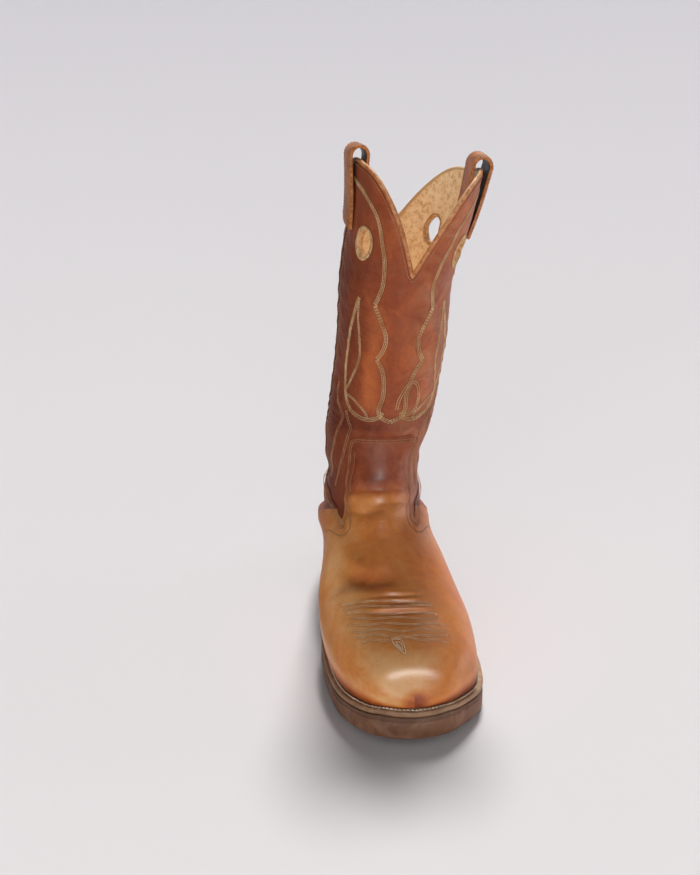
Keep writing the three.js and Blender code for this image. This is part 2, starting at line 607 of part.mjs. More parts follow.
// The part's origin is the middle of its footprint, on the ground.
const bounds = new THREE.Box3().setFromObject(boot);
const middle = bounds.getCenter(new THREE.Vector3());
boot.position.set(-middle.x, -middle.y, -bounds.min.z);

export default boot;
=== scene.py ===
"""Looks of a worn western pull-on boot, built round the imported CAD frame.

Shapes are worked out in millimetres in the boot's own workshop frame (heel nail at y 66, ground z 0) and
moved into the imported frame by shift(). Round position a is 0 at the front, +-0.5 at the side seams and
+-1 at the back or the foot line; v counts stations from the top of the shaft to the toe tip.
"""

import math

import bmesh
import bpy
import numpy as np
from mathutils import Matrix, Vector
from mathutils.kdtree import KDTree


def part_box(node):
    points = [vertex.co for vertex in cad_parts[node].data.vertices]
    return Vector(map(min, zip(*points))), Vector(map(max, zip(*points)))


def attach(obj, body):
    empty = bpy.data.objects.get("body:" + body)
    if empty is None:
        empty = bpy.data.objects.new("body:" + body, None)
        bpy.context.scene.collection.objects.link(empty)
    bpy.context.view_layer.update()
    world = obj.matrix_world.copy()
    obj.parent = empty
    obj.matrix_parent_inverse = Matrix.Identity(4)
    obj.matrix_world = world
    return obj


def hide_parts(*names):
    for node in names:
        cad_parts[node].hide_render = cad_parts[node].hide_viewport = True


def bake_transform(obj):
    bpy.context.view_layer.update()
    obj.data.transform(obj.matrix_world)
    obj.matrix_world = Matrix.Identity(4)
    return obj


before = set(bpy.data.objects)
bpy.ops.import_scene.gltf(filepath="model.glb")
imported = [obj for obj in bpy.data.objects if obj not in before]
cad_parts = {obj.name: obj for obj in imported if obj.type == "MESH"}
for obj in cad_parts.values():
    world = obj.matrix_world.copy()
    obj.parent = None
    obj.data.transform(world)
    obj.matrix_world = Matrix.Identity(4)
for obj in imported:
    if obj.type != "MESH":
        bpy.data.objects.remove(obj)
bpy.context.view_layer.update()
MM = 0.001
FINE = 1.0      # share of full mesh detail while trying things
RANDOM = np.random.default_rng(7)

nail_low, nail_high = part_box("heel_nail_1")
ORIGIN = np.array([(nail_low.x + nail_high.x) / 2, (nail_low.y + nail_high.y) / 2 - 66 * MM, 0.0])


def shift(points):
    """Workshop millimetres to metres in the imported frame."""
    return np.asarray(points) * MM + ORIGIN


# ---- the boot's surface ----
PEAK_Z = 321                # nominal height of the shaft
RIM_Z = 330                 # the crests of the top edge
FRONT_DIP, BACK_DIP = 63, 53
BACK_DROP = 12              # how much lower the top edge runs at the back
DIP_SPAN = 0.36             # round position over which the top edge comes up again
SHAFT_LEAN = 27
LEAN_FROM_Z = 105
SHAFT_TILT = 0.11
SWAY, SWAY_Z, SWAY_SPAN = 3, 255, 30     # the upper shaft leans inwards off its straight line
SEAT_Z = 39
BULGE = 1 / 0.75            # how far a Bezier rail stands out beyond the width it gives
FIRST_FOOT = 9              # the first station of the foot


def smoothstep(x, low, high):
    t = np.clip((np.asarray(x, float) - low) / (high - low), 0, 1)
    return t * t * (3 - 2 * t)


def bell(x, middle, width):
    return np.exp(-((np.asarray(x, float) - middle) / width) ** 2)


def wrapped(a):
    """The round position brought back to -1..1."""
    a = np.asarray(a, float)
    return np.where(a > 1, a - 2, np.where(a < -1, a + 2, a))


def centre_x(z):
    """The middle of the shaft at a height: it leans outwards, with a slight sway near the top."""
    lean = np.maximum(0, (z - LEAN_FROM_Z) / (PEAK_Z - LEAN_FROM_Z))
    return SHAFT_LEAN * lean - SWAY * bell(z, SWAY_Z, SWAY_SPAN)


def shaft_station(front_y, front_z, back_y, back_z, outer, inner, ridge, front_x=0):
    tilt = SHAFT_TILT * smoothstep(front_z, 120, PEAK_Z)

    def point(y, z, across):
        return [centre_x(z) + across, y, z - tilt * across]

    def side(across):
        return [point(front_y, front_z, front_x), point(front_y, front_z, front_x + across * ridge),
                point(back_y, back_z, across * (2 - ridge)), point(back_y, back_z, 0)]
    return side(outer * BULGE), side(-inner * BULGE)


def foot_station(top_x, top_y, top_z, top_half, mid_x, foot_y, foot_z, outer, inner, outer_bulge, inner_bulge,
                 rise, reach=0):
    def side(s, x, bulge):
        return [[top_x, top_y, top_z], [top_x + s * top_half, top_y, top_z],
                [mid_x + s * (x + bulge), foot_y + reach, foot_z + rise], [mid_x + s * x, foot_y, foot_z]]
    return side(1, outer, outer_bulge), side(-1, inner, inner_bulge)


STATIONS = [
    shaft_station(-62, 347, 62, 347, 45.5, 45.5, 0.94),
    shaft_station(-61, 300, 62, 300, 42, 42, 0.94),
    shaft_station(-59, 250, 61, 250, 37.5, 40, 0.94),
    shaft_station(-55, 200, 59, 200, 37.5, 38.5, 0.95, -1),
    shaft_station(-51, 162, 58, 152, 37, 37.5, 0.98, -2),
    shaft_station(-51, 145, 59, 122, 35.5, 37, 1, -3),
    shaft_station(-54, 132, 64, 96, 31.5, 34, 1, -4),
    shaft_station(-59, 122, 70, 73, 31.5, 32.5, 1, -5),
    shaft_station(-65, 113, 75.5, 54, 33, 33, 1, -5),
    foot_station(-5, -71, 107, 43, 0, 76, 39, 0, 0, 43, 43, 6, 2),
    foot_station(-5, -75, 104, 43, 0, 73, 39, 14, 14, 25, 26, 8),
    foot_station(-5, -80, 100, 43, 0, 61, 39, 25.5, 25.5, 16, 16, 13),
    foot_station(-5, -88, 95, 43, 0, 33, 39, 31, 30.5, 11, 12, 20),
    foot_station(-5, -98, 89, 43, -1, -4, 36.6, 32.5, 29.5, 8, 12, 26),
    foot_station(-4, -110, 83, 43, -1, -44, 28.6, 39, 34, 8, 11.5, 31),
    foot_station(-3, -124, 77, 42, 0, -84, 20.4, 46.5, 41, 6.5, 12, 32),
    foot_station(-1, -141, 71, 42, 1, -117, 18, 51, 43.5, 3, 12, 31),
    foot_station(1, -160, 65, 40, 2.5, -147, 18, 50, 43, 2, 10.5, 29),
    foot_station(3.5, -180, 58, 36, 4, -175, 20, 43, 38, 3, 6.5, 25, -4),
    foot_station(4.5, -197, 48, 25, 4.5, -197, 22.7, 25.5, 25.5, 4, 5, 18, -6),
    foot_station(5, -204.5, 38, 14, 5, -205.5, 24.4, 12.5, 12.5, 3, 3, 8, -4),
    foot_station(5, -207.5, 32, 0.12, 5, -208, 25.2, 0.12, 0.12, 0, 0, 1),
]
LAST = len(STATIONS) - 1
RAILS = np.array(STATIONS, float).transpose(1, 2, 0, 3)         # side, rail, station, xyz
RAILS = np.concatenate([2 * RAILS[:, :, :1] - RAILS[:, :, 1:2], RAILS,
                        2 * RAILS[:, :, -1:] - RAILS[:, :, -2:-1]], axis=2)


def spline_weights(w):
    """Catmull-Rom weights of four neighbours, w from the second towards the third."""
    return (-0.5 * w**3 + w**2 - 0.5 * w, 1.5 * w**3 - 2.5 * w**2 + 1,
            -1.5 * w**3 + 2 * w**2 + 0.5 * w, 0.5 * w**3 - 0.5 * w**2)


def surface(a, v):
    """Points of the boot's outer surface, in millimetres."""
    a, v = np.broadcast_arrays(np.asarray(a, float), np.asarray(v, float))
    a = wrapped(a)
    side = (a < 0).astype(int)
    t = np.abs(a)[..., None]
    x = np.clip(v, 0, LAST)
    i = np.minimum(x.astype(int), LAST - 1)
    w = (x - i)[..., None, None]
    rails = sum(weight * RAILS[side, :, i + k] for k, weight in enumerate(spline_weights(w)))
    level = (v > FIRST_FOOT) & (v < FIRST_FOOT + 1)
    rails[..., 3, 2] = np.where(level, SEAT_Z, rails[..., 3, 2])
    rails[..., 3, 0] = np.where(v < FIRST_FOOT, centre_x(rails[..., 3, 2]), rails[..., 3, 0])
    s = 1 - t
    return (s**3 * rails[..., 0, :] + 3 * s * s * t * rails[..., 1, :]
            + 3 * s * t * t * rails[..., 2, :] + t**3 * rails[..., 3, :])


def unit(vectors):
    return vectors / np.maximum(np.linalg.norm(vectors, axis=-1, keepdims=True), 1e-9)


def inward(a, v):
    """Unit normal of the surface, pointing into the boot."""
    a, v = np.broadcast_arrays(np.asarray(a, float), np.asarray(v, float))
    a = np.where(a > 1, a - 2, a)
    edge = np.where(v > FIRST_FOOT, 1, 2)
    along = surface(a, np.minimum(v + 0.05, LAST - 0.001)) - surface(a, np.maximum(v - 0.05, 0))
    round_ = surface(np.minimum(a + 0.004, edge), v) - surface(np.maximum(a - 0.004, -edge), v)
    normal = unit(np.cross(round_, along))
    on_foot_line = smoothstep(np.abs(a), 0.86, 1) * smoothstep(v, FIRST_FOOT - 0.7, FIRST_FOOT)
    normal[..., 2] *= 1 - on_foot_line
    return unit(normal)


def level_at(a, height):
    """Station at which the surface reaches a height up the shaft, measured on its tilt."""
    a, height = np.broadcast_arrays(np.asarray(a, float), np.asarray(height, float))
    low, high = np.zeros(a.shape), np.full(a.shape, 8.5)
    for _ in range(24):
        mid = (low + high) / 2
        p = surface(a, mid)
        above = p[..., 2] + SHAFT_TILT * (p[..., 0] - centre_x(p[..., 2])) > height
        low, high = np.where(above, mid, low), np.where(above, high, mid)
    return (low + high) / 2


def scallop_height(a):
    """Height of the top edge: crests at the sides, a dip at the front and at the back."""
    t = np.abs(wrapped(a))
    back = smoothstep(t, 0.4, 0.7)
    dip = FRONT_DIP + (BACK_DIP - FRONT_DIP) * back
    return RIM_Z - BACK_DROP * back - dip * np.maximum(0, 1 - np.minimum(t, 1 - t) / DIP_SPAN) ** 2.2


def shaft_top(a):
    return level_at(a, scallop_height(a))


def outline(points):
    """A smooth curve through (a, v) pairs, read at |a|."""
    xs, ys = np.array(points, float).T

    def read(a):
        t = np.abs(wrapped(a))
        i = np.clip(np.searchsorted(xs, t, side="right") - 1, 0, len(xs) - 2)
        f = smoothstep((t - xs[i]) / (xs[i + 1] - xs[i]), 0, 1)
        return ys[i] + (ys[i + 1] - ys[i]) * f
    return read


TONGUE_TOP = 4.86
CREASE = 7.9
foot_top = outline([(0, 7.9), (0.2, 8.05), (0.24, 11.4), (0.28, 11.4), (0.34, 9), (0.42, 7.9), (0.55, 7.1),
                    (0.75, 6.8), (1, 6.3)])
# Upper edge of vamp and tongue in one: the tongue's top, down its sides, round the notch and up again.
vamp_top = outline([(0, TONGUE_TOP), (0.13, TONGUE_TOP), (0.193, 5.05), (0.205, 6.2), (0.222, 9.6),
                    (0.24, 11.25), (0.262, 11.5), (0.284, 11.1), (0.31, 9.9), (0.34, 9.0), (0.42, 7.9),
                    (0.55, 7.1), (0.75, 6.8), (1, 6.3)])
SEAM_TOP_A = 0.3
SEAM_FOOT_V = 13.6
TIP_X = 5


# ---- relief: what wear and stitching do to the leather, in millimetres outwards ----
def ripple(a, v, seed, count, a_rate, v_rate):
    """A sum of slanting waves, about -1 to 1."""
    rng = np.random.default_rng(seed)
    total = 0
    for _ in range(count):
        phase, slant, rate = rng.uniform(0, 2 * math.pi), rng.normal(0, 1), rng.uniform(0.6, 1.6)
        total = total + np.sin(rate * (v_rate * v + slant * a_rate * a) + phase)
    return total / math.sqrt(count)


def crinkle_share(a, v):
    """How crinkled the leather is: most at the sides of the shaft and round the ankle."""
    t = np.abs(wrapped(a))
    shaft = smoothstep(t, 0.06, 0.2) * smoothstep(v, 1.2, 2.0) * (1 - smoothstep(v, 7.5, 9))
    return np.maximum(shaft, 0.4 * smoothstep(v, 8.5, 10) * (1 - smoothstep(v, 12, 15)))


def relief(a, v):
    """How far wear pushes the leather out: shaft ripples, the ankle crease and the foot's bending."""
    a = wrapped(a)
    t = np.abs(a)
    shaft = smoothstep(v, 0.9, 1.6) * (1 - smoothstep(v, 4.4, 5.2))
    out = 1.0 * bell(a, -0.01, 0.05) * shaft
    out += 0.25 * smoothstep(t, 0.2, 0.42) * shaft * ripple(a, v, 3, 7, 26, 21)
    out += 0.3 * shaft * ripple(a, v, 4, 5, 8, 2.2)
    out += 0.08 * crinkle_share(a, v) * ripple(a, v, 8, 9, 60, 75)
    ankle = bell(v, 6.3, 1.3)
    out += 0.9 * ankle * smoothstep(t, 0.24, 0.5) * ripple(a, v, 5, 4, 5, 4.5)
    front = 1 - smoothstep(t, 0.14, 0.3)
    out -= 1.0 * bell(v, CREASE, 0.28) * front
    out += 0.9 * bell(v, CREASE - 0.6, 0.4) * front
    out += 0.5 * bell(v, CREASE + 0.7, 0.5) * front
    # Bending of the foot: a furrow from the ankle down the inner side of the instep, a hollow above the
    # toes, a bright knuckle at its end and short creases in front of it.
    furrow_a = -0.03 - 0.07 * smoothstep(v, 9, 11.5) - 0.03 * smoothstep(v, 12, 14)
    furrow = smoothstep(v, 8.6, 11) * (1 - smoothstep(v, 13.8, 15.2))
    out -= 2.2 * furrow * bell(a, furrow_a, 0.055)
    out += 1.5 * furrow * bell(a, furrow_a + 0.12, 0.07)
    out -= 6.0 * bell(v, 15.05 + 1.6 * (a + 0.15), 0.45) * bell(a, -0.16, 0.12)
    out -= 2.2 * bell(v, 15.25, 0.45) * bell(a, -0.42, 0.15)
    out += 1.5 * bell(v, 15.75, 0.3) * bell(a, -0.22, 0.14)
    out += 1.6 * bell(v, 15.72, 0.3) * bell(a, -0.02, 0.05)
    out += 1.2 * bell(v, 15.0, 0.8) * bell(a, 0.1, 0.09)
    for at, deep, wide in ((16.12, 0.8, 0.12), (16.42, 0.9, 0.16), (16.83, 1.5, 0.2)):
        out -= deep * bell(v, at - 0.9 * (a - 0.02) ** 2, 0.09) * bell(a, 0.02, wide)
        out += 0.5 * deep * bell(v, at - 0.18, 0.1) * bell(a, 0.02, wide)
    out -= 1.6 * bell(v, 17.1, 0.45) * bell(a, 0.02, 0.22)
    vamp = smoothstep(v, 9.5, 11) * (1 - smoothstep(v, 17.5, 19.5)) * (1 - smoothstep(t, 0.75, 0.95))
    return out + 0.5 * vamp * ripple(a, v, 6, 6, 7, 1.6)


def place(a, v, depth, worn=1.0):
    """Points at a depth below the surface; the toe tip closes on the boot's middle line."""
    points = surface(a, v) + inward(a, v) * (depth - worn * relief(a, v))[..., None]
    points[..., 0] += (TIP_X - points[..., 0]) * smoothstep(v, LAST - 0.3, LAST - 0.03)
    return points


# ---- meshes ----
def make_object(name, points, faces, look, attributes=None, sharp=45):
    mesh = bpy.data.meshes.new(name)
    mesh.from_pydata(np.asarray(points).tolist(), [], [list(f) for f in faces])
    for key, values in (attributes or {}).items():
        mesh.attributes.new(key, "FLOAT", "POINT").data.foreach_set("value", np.asarray(values, np.float32))
    mesh.validate()
    mesh.shade_smooth()
    mesh.set_sharp_from_angle(angle=math.radians(sharp))
    mesh.materials.append(look)
    obj = bpy.data.objects.new(name, mesh)
    bpy.context.scene.collection.objects.link(obj)
    return obj


def grid_faces(rows, columns, keep=None, wrap=False):
    i, j = np.meshgrid(np.arange(rows - 1), np.arange(columns if wrap else columns - 1), indexing="ij")
    k = (j + 1) % columns
    faces = np.stack([i * columns + j, i * columns + k, (i + 1) * columns + k, (i + 1) * columns + j], -1)
    return faces[keep] if keep is not None else faces.reshape(-1, 4)


def shell(name, outer, inner, look, keep=None, wrap=False, attributes=None, sharp=45):
    """A sheet with thickness: two grids of points, joined all along their edges and round any holes."""
    rows, columns = outer.shape[:2]
    faces = grid_faces(rows, columns, keep, wrap)
    n = rows * columns
    corner = np.concatenate([np.stack([faces[:, k], faces[:, (k + 1) % 4]], -1) for k in range(4)])
    code = corner[:, 0] * n + corner[:, 1]
    edge = corner[~np.isin(code, corner[:, 1] * n + corner[:, 0])]
    rim = np.stack([edge[:, 1], edge[:, 0], edge[:, 0] + n, edge[:, 1] + n], -1)
    every = np.concatenate([faces, faces[:, ::-1] + n, rim])
    points = shift(np.concatenate([outer.reshape(-1, 3), inner.reshape(-1, 3)]))
    sample = faces[len(faces) // 3]
    p = points[sample]
    facing = np.cross(p[1] - p[0], p[3] - p[0]) @ (points[sample[0]] - points[sample[0] + n])
    if facing < 0:
        every = every[:, ::-1]
    used, renumbered = np.unique(every, return_inverse=True)
    doubled = {k: np.concatenate([np.ravel(x), np.ravel(x)])[used] for k, x in (attributes or {}).items()}
    return make_object(name, points[used], renumbered.reshape(every.shape), look, doubled, sharp)


def loft_closed(name, rings, look, attributes=None, sharp=45, cap=False):
    """A solid whose rings (the array's rows) close on themselves; the rows close up too unless capped."""
    rows, columns = rings.shape[:2]
    if cap:
        faces = grid_faces(rows, columns, wrap=True).tolist()
        faces += [list(range(columns))[::-1], [(rows - 1) * columns + k for k in range(columns)]]
    else:
        rings = np.concatenate([rings, rings[:1]])
        faces = grid_faces(rows + 1, columns, wrap=True)
        faces = np.where(faces >= rows * columns, faces - rows * columns, faces).tolist()
        rings = rings[:rows]
    obj = make_object(name, shift(rings.reshape(-1, 3)), faces, look, attributes, sharp)
    return outwards(obj)


def outwards(obj):
    """Turns the faces of a closed mesh outwards."""
    bm = bmesh.new()
    bm.from_mesh(obj.data)
    bmesh.ops.recalc_face_normals(bm, faces=bm.faces)
    bm.to_mesh(obj.data)
    bm.free()
    return obj


def steps(low, high, count, dense=0.0):
    """Numbers from low to high; with dense above 0 they bunch up at the low end."""
    t = np.linspace(0, 1, max(4, int(count * FINE)))
    return low + (high - low) * ((1 - dense) * t + dense * t**3)


# ---- materials ----
def linear(code):
    """An sRGB hex colour as linear RGBA."""
    parts = [int(code[i:i + 2], 16) / 255 for i in (0, 2, 4)]
    return [c / 12.92 if c <= 0.04045 else ((c + 0.055) / 1.055) ** 2.4 for c in parts] + [1]


class Graph:
    """A material's nodes, with short calls for the few kinds used here."""

    def __init__(self, name):
        self.material = bpy.data.materials.new(name)
        self.material.use_nodes = True
        self.nodes = self.material.node_tree.nodes
        self.links = self.material.node_tree.links
        self.shader = self.nodes["Principled BSDF"]
        self.place = self.nodes.new("ShaderNodeTexCoord").outputs["Object"]

    def put(self, socket, value):
        if isinstance(value, bpy.types.NodeSocket):
            self.links.new(value, socket)
        else:
            socket.default_value = value

    def noise(self, scale, detail=4, roughness=0.55, distortion=0, stretch=None):
        node = self.nodes.new("ShaderNodeTexNoise")
        place = self.place
        if stretch:
            mapping = self.nodes.new("ShaderNodeMapping")
            mapping.inputs["Scale"].default_value = stretch
            self.put(mapping.inputs["Vector"], place)
            place = mapping.outputs["Vector"]
        self.put(node.inputs["Vector"], place)
        for key, value in (("Scale", scale), ("Detail", detail), ("Roughness", roughness),
                           ("Distortion", distortion)):
            self.put(node.inputs[key], value)
        return node.outputs["Fac"]

    def cells(self, scale):
        node = self.nodes.new("ShaderNodeTexVoronoi")
        self.put(node.inputs["Vector"], self.place)
        self.put(node.inputs["Scale"], scale)
        return node.outputs["Distance"]

    def stripes(self, scale, distortion=0.0, direction="Z"):
        node = self.nodes.new("ShaderNodeTexWave")
        node.bands_direction = direction
        self.put(node.inputs["Vector"], self.place)
        self.put(node.inputs["Scale"], scale)
        self.put(node.inputs["Distortion"], distortion)
        self.put(node.inputs["Detail Scale"], 2.0)
        return node.outputs["Fac"]

    def attribute(self, name):
        node = self.nodes.new("ShaderNodeAttribute")
        node.attribute_name = name
        return node.outputs["Fac"]

    def math(self, operation, a, b=0.0, clamp=False):
        node = self.nodes.new("ShaderNodeMath")
        node.operation = operation
        node.use_clamp = clamp
        self.put(node.inputs[0], a)
        self.put(node.inputs[1], b)
        return node.outputs[0]

    def spread(self, value, low, high, to_low=0.0, to_high=1.0):
        """Maps low..high of a value onto to_low..to_high."""
        node = self.nodes.new("ShaderNodeMapRange")
        for socket, number in zip(node.inputs[:5], (value, low, high, to_low, to_high)):
            self.put(socket, number)
        return node.outputs[0]

    def ramp(self, value, stops):
        node = self.nodes.new("ShaderNodeValToRGB")
        elements = node.color_ramp.elements
        while len(elements) < len(stops):
            elements.new(0.5)
        for element, (at, code) in zip(elements, stops):
            element.position = at
            element.color = linear(code)
        self.put(node.inputs["Fac"], value)
        return node.outputs["Color"]

    def mix(self, share, a, b, blend="MIX"):
        node = self.nodes.new("ShaderNodeMix")
        node.data_type = "RGBA"
        node.blend_type = blend
        for socket, value in ((node.inputs["Factor"], share), (node.inputs[6], a), (node.inputs[7], b)):
            self.put(socket, linear(value) if isinstance(value, str) else value)
        return node.outputs[2]

    def bump(self, height, strength, distance, under=None):
        node = self.nodes.new("ShaderNodeBump")
        self.put(node.inputs["Height"], height)
        self.put(node.inputs["Strength"], strength)
        self.put(node.inputs["Distance"], distance)
        if under is not None:
            self.put(node.inputs["Normal"], under)
        return node.outputs["Normal"]

    def finish(self, color, roughness, normal, coat=0.0, specular=0.5, sheen=0.0, metal=0.0):
        self.put(self.shader.inputs["Base Color"], color)
        self.put(self.shader.inputs["Roughness"], roughness)
        self.put(self.shader.inputs["Normal"], normal)
        self.shader.inputs["Coat Weight"].default_value = coat
        self.shader.inputs["Coat Roughness"].default_value = 0.3
        self.shader.inputs["Specular IOR Level"].default_value = specular
        self.shader.inputs["Sheen Weight"].default_value = sheen
        self.shader.inputs["Metallic"].default_value = metal
        return self.material


UPPER_STOPS = [(0.0, "3c130a"), (0.2, "6a260f"), (0.4, "96431b"), (0.6, "c4662b"), (0.8, "e08c42"),
               (1.0, "efb578")]


def upper_leather(name):
    """Oiled red-brown to tan leather; the attributes say how light, how rubbed and how sunk by stitches.
    Lightness and rubbing also carry painted shade and painted sheen, and the leather is darker along the sunk
    rows.
    """
    g = Graph(name)
    broad = g.noise(28, 3)
    patch = g.noise(95, 5, 0.6, 0.6)
    speck = g.noise(520, 4, 0.65)
    tone = g.math("ADD", g.attribute("tone"), g.spread(broad, 0.3, 0.7, -0.07, 0.07))
    tone = g.math("ADD", tone, g.spread(patch, 0.3, 0.7, -0.06, 0.06))
    tone = g.math("ADD", tone, g.spread(speck, 0.3, 0.7, -0.03, 0.03))
    color = g.ramp(tone, UPPER_STOPS)
    # Pale scuffs where the attribute worn allows: real scuffing, and over the outer sides a painted sheen.
    scuff_and_sheen = g.math("MULTIPLY", g.spread(g.noise(60, 6, 0.7, 1.2), 0.4, 0.7), g.attribute("worn"), clamp=True)
    color = g.mix(g.math("MULTIPLY", scuff_and_sheen, 0.5), color, "c9906b")
    # Darker along the sunk stitch rows.
    stitch_darkening = g.math("MULTIPLY", g.attribute("stitch"), 0.3, clamp=True)
    color = g.mix(stitch_darkening, color, "4a1d10")
    pits = g.cells(1150)
    grain = g.math("ADD", g.spread(pits, 0, 0.6, 0, 1), g.noise(700, 4))
    normal = g.bump(grain, 0.16, 0.00025)
    normal = g.bump(g.noise(170, 5, 0.6), 0.12, 0.0008, normal)
    fold = g.noise(170, 3, 0.5, 0.7, (1, 1, 3))
    lines = g.math("MULTIPLY", g.spread(fold, 0.35, 0.65), g.attribute("crinkle"))
    normal = g.bump(lines, 0.35, 0.0009, normal)
    roughness = g.math("ADD", g.spread(patch, 0.3, 0.7, 0.36, 0.5), g.math("MULTIPLY", scuff_and_sheen, 0.12))
    roughness = g.math("ADD", roughness, g.spread(tone, 0.5, 0.9, 0.07, -0.12))
    return g.finish(color, roughness, normal, coat=0.05, specular=0.34, sheen=0.02)


def plain_leather(name, stops, roughness=0.6, grain=0.2, scale=120, coat=0.0, sheen=0.0, painted_glow=0.0):
    """Leather mottled between the stops, paler where the attribute inner says that the lining folds over."""
    g = Graph(name)
    blotch, speck = g.noise(scale, 5, 0.6, 0.5), g.noise(900, 3)
    value = g.math("ADD", g.math("MULTIPLY", blotch, 0.7), g.math("MULTIPLY", speck, 0.3))
    color = g.mix(g.attribute("inner"), g.ramp(g.spread(value, 0.36, 0.64), stops), "dcb988")
    normal = g.bump(g.noise(1300, 5, 0.7), grain, 0.0003)
    normal = g.bump(g.noise(220, 4), grain, 0.0006, normal)
    rough = g.spread(g.noise(300, 4), 0.3, 0.7, roughness - 0.08, roughness + 0.08)
    # A glow above 0 makes the leather shine with its own light, as painted light.
    g.put(g.shader.inputs["Emission Color"], color)
    g.shader.inputs["Emission Strength"].default_value = painted_glow
    return g.finish(color, rough, normal, coat=coat, sheen=sheen)


def strap_leather(name):
    """Brown outside and orange cut edges; the back is painted near-black as shade."""
    g = Graph(name)
    blotch = g.noise(130, 5, 0.6, 0.4)
    outside = g.ramp(g.spread(blotch, 0.35, 0.65), [(0, "8a4720"), (1, "c8824e")])
    edge = g.ramp(g.spread(g.noise(500, 3), 0.35, 0.65), [(0, "96521f"), (1, "c67e3c")])
    # Near-black on the strap's back: painted shade on its inner face.
    back = g.ramp(g.spread(blotch, 0.35, 0.65), [(0, "191210"), (1, "2e211d")])
    color = g.mix(g.attribute("back"), outside, back)
    color = g.mix(g.attribute("edge"), color, edge)
    normal = g.bump(g.noise(900, 5, 0.7), 0.2, 0.0003)
    return g.finish(color, g.spread(blotch, 0.3, 0.7, 0.42, 0.6), normal, coat=0.05)


def thread(name, light, dark):
    g = Graph(name)
    color = g.mix(g.spread(g.noise(140, 4), 0.35, 0.65), light, dark)
    normal = g.bump(g.stripes(900, 1.5, "DIAGONAL"), 0.3, 0.0002)
    return g.finish(color, g.spread(g.noise(400), 0.3, 0.7, 0.7, 0.9), normal, specular=0.3, sheen=0.15)


def sole_edge(name, stops, roughness, line_scale, line_share):
    """Sole leather or rubber: faint level lines, dust and rubs."""
    g = Graph(name)
    blotch = g.noise(70, 6, 0.65, 0.8)
    lines = g.stripes(line_scale, 2.0)
    value = g.spread(blotch, 0.3, 0.7, 0, 1 - line_share)
    value = g.math("ADD", value, g.math("MULTIPLY", lines, line_share))
    color = g.ramp(value, stops)
    dust = g.spread(g.noise(35, 5, 0.6), 0.5, 0.72, 0, 0.35)
    color = g.mix(dust, color, "a3917d")
    normal = g.bump(lines, 0.1, 0.0003)
    normal = g.bump(g.noise(650, 5, 0.7), 0.3, 0.0003, normal)
    rough = g.spread(blotch, 0.3, 0.7, roughness - 0.1, roughness + 0.1)
    return g.finish(color, rough, normal, specular=0.35)


def granules(name, stops):
    g = Graph(name)
    color = g.ramp(g.cells(330), stops)
    return g.finish(color, g.spread(g.noise(200), 0.3, 0.7, 0.85, 0.98), g.bump(g.cells(330), 0.5, 0.0008))


def worn_metal(name, stops, roughness):
    g = Graph(name)
    blotch = g.noise(240, 5, 0.6)
    color = g.ramp(g.spread(blotch, 0.35, 0.65), stops)
    scratches = g.noise(500, 3, 0.6, 0, (1, 12, 1))
    return g.finish(color, g.spread(scratches, 0.3, 0.7, roughness - 0.1, roughness + 0.15),
                    g.bump(scratches, 0.15, 0.0002), metal=1.0)


UPPER = upper_leather("upper_leather")
# The lining shines faintly with its own light: painted light inside the boot.
LINING = plain_leather("lining_leather", [(0, "c39a66"), (0.45, "e3c397"), (1, "efd9b4")], 0.85, 0.45, 260,
                       sheen=0.2, painted_glow=0.2)
BINDING = plain_leather("binding_leather", [(0, "97501f"), (0.5, "c27a3e"), (1, "dba46c")], 0.5, 0.2, 260,
                        coat=0.08)
PIPING = plain_leather("piping_leather", [(0, "4a1c0e"), (1, "7d3a1c")], 0.5, 0.2, 260)
EDGING = plain_leather("edging_leather", [(0, "a5713f"), (0.5, "cb9e6a"), (1, "e3c293")], 0.65, 0.3, 300)
SOCK = plain_leather("sock_leather", [(0, "84603a"), (1, "ae8a5c")], 0.6, 0.2, 90)
BOARD = plain_leather("board", [(0, "94754a"), (1, "b89a6e")], 0.85, 0.4, 200)
STRAP = strap_leather("strap_leather")
CREAM = thread("cream_thread", "efcf9e", "c79a63")
TOE_THREAD = thread("toe_thread", "ffdcae", "e3ac74")
LEAF_THREAD = thread("leaf_thread", "fbebcf", "e6c79b")
TAN_THREAD = thread("tan_thread", "c8966a", "9c6843")
PALE_THREAD = thread("pale_thread", "e6dac2", "bda580")
WELT = sole_edge("welt_leather", [(0, "7d5a42"), (0.5, "a37b5c"), (1, "c19c78")], 0.6, 500, 0.25)
RECESS = sole_edge("midsole_leather", [(0, "5c3d2b"), (1, "7f5b46")], 0.8, 900, 0.3)
RUBBER = sole_edge("sole_rubber", [(0, "63402c"), (0.5, "7d543c"), (1, "966a50")], 0.55, 160, 0.1)
STACK = sole_edge("stack_leather", [(0, "3c2418"), (0.5, "6d4630"), (1, "8d6246")], 0.5, 420, 0.6)
CORK = granules("cork", [(0.1, "6d4526"), (0.5, "a87646"), (0.9, "c99b68")])
STEEL = worn_metal("shank_steel", [(0, "74777b"), (1, "a7abb0")], 0.35)
BRASS = worn_metal("nail_brass", [(0, "7b5d26"), (1, "b89648")], 0.35)

# ---- stitching ----
STITCH_LENGTH = 1.75
STITCH_PITCH = 2.05
THREAD_R = 0.3


def smooth_path(points, per_segment=14):
    """A Catmull-Rom curve through (a, v) pairs."""
    p = np.array(points, float)
    p = np.concatenate([[2 * p[0] - p[1]], p, [2 * p[-1] - p[-2]]])
    w = np.linspace(0, 1, per_segment, endpoint=False)[:, None]
    pieces = []
    for i in range(len(p) - 3):
        first, *rest = (weight * p[i + k] for k, weight in enumerate(spline_weights(w)))
        pieces.append(sum(rest, first))
    return np.concatenate(pieces + [p[-2:-1]])


def on_leather(path, depth, offset=0.0):
    """The points of an (a, v) path on leather of a given outer depth, moved sideways, and outward normals."""
    a, v = path.T
    points = place(a, v, np.full(len(a), depth))
    normals = -inward(a, v)
    ahead = unit(np.gradient(points, axis=0))
    return points + np.cross(normals, ahead) * offset, normals


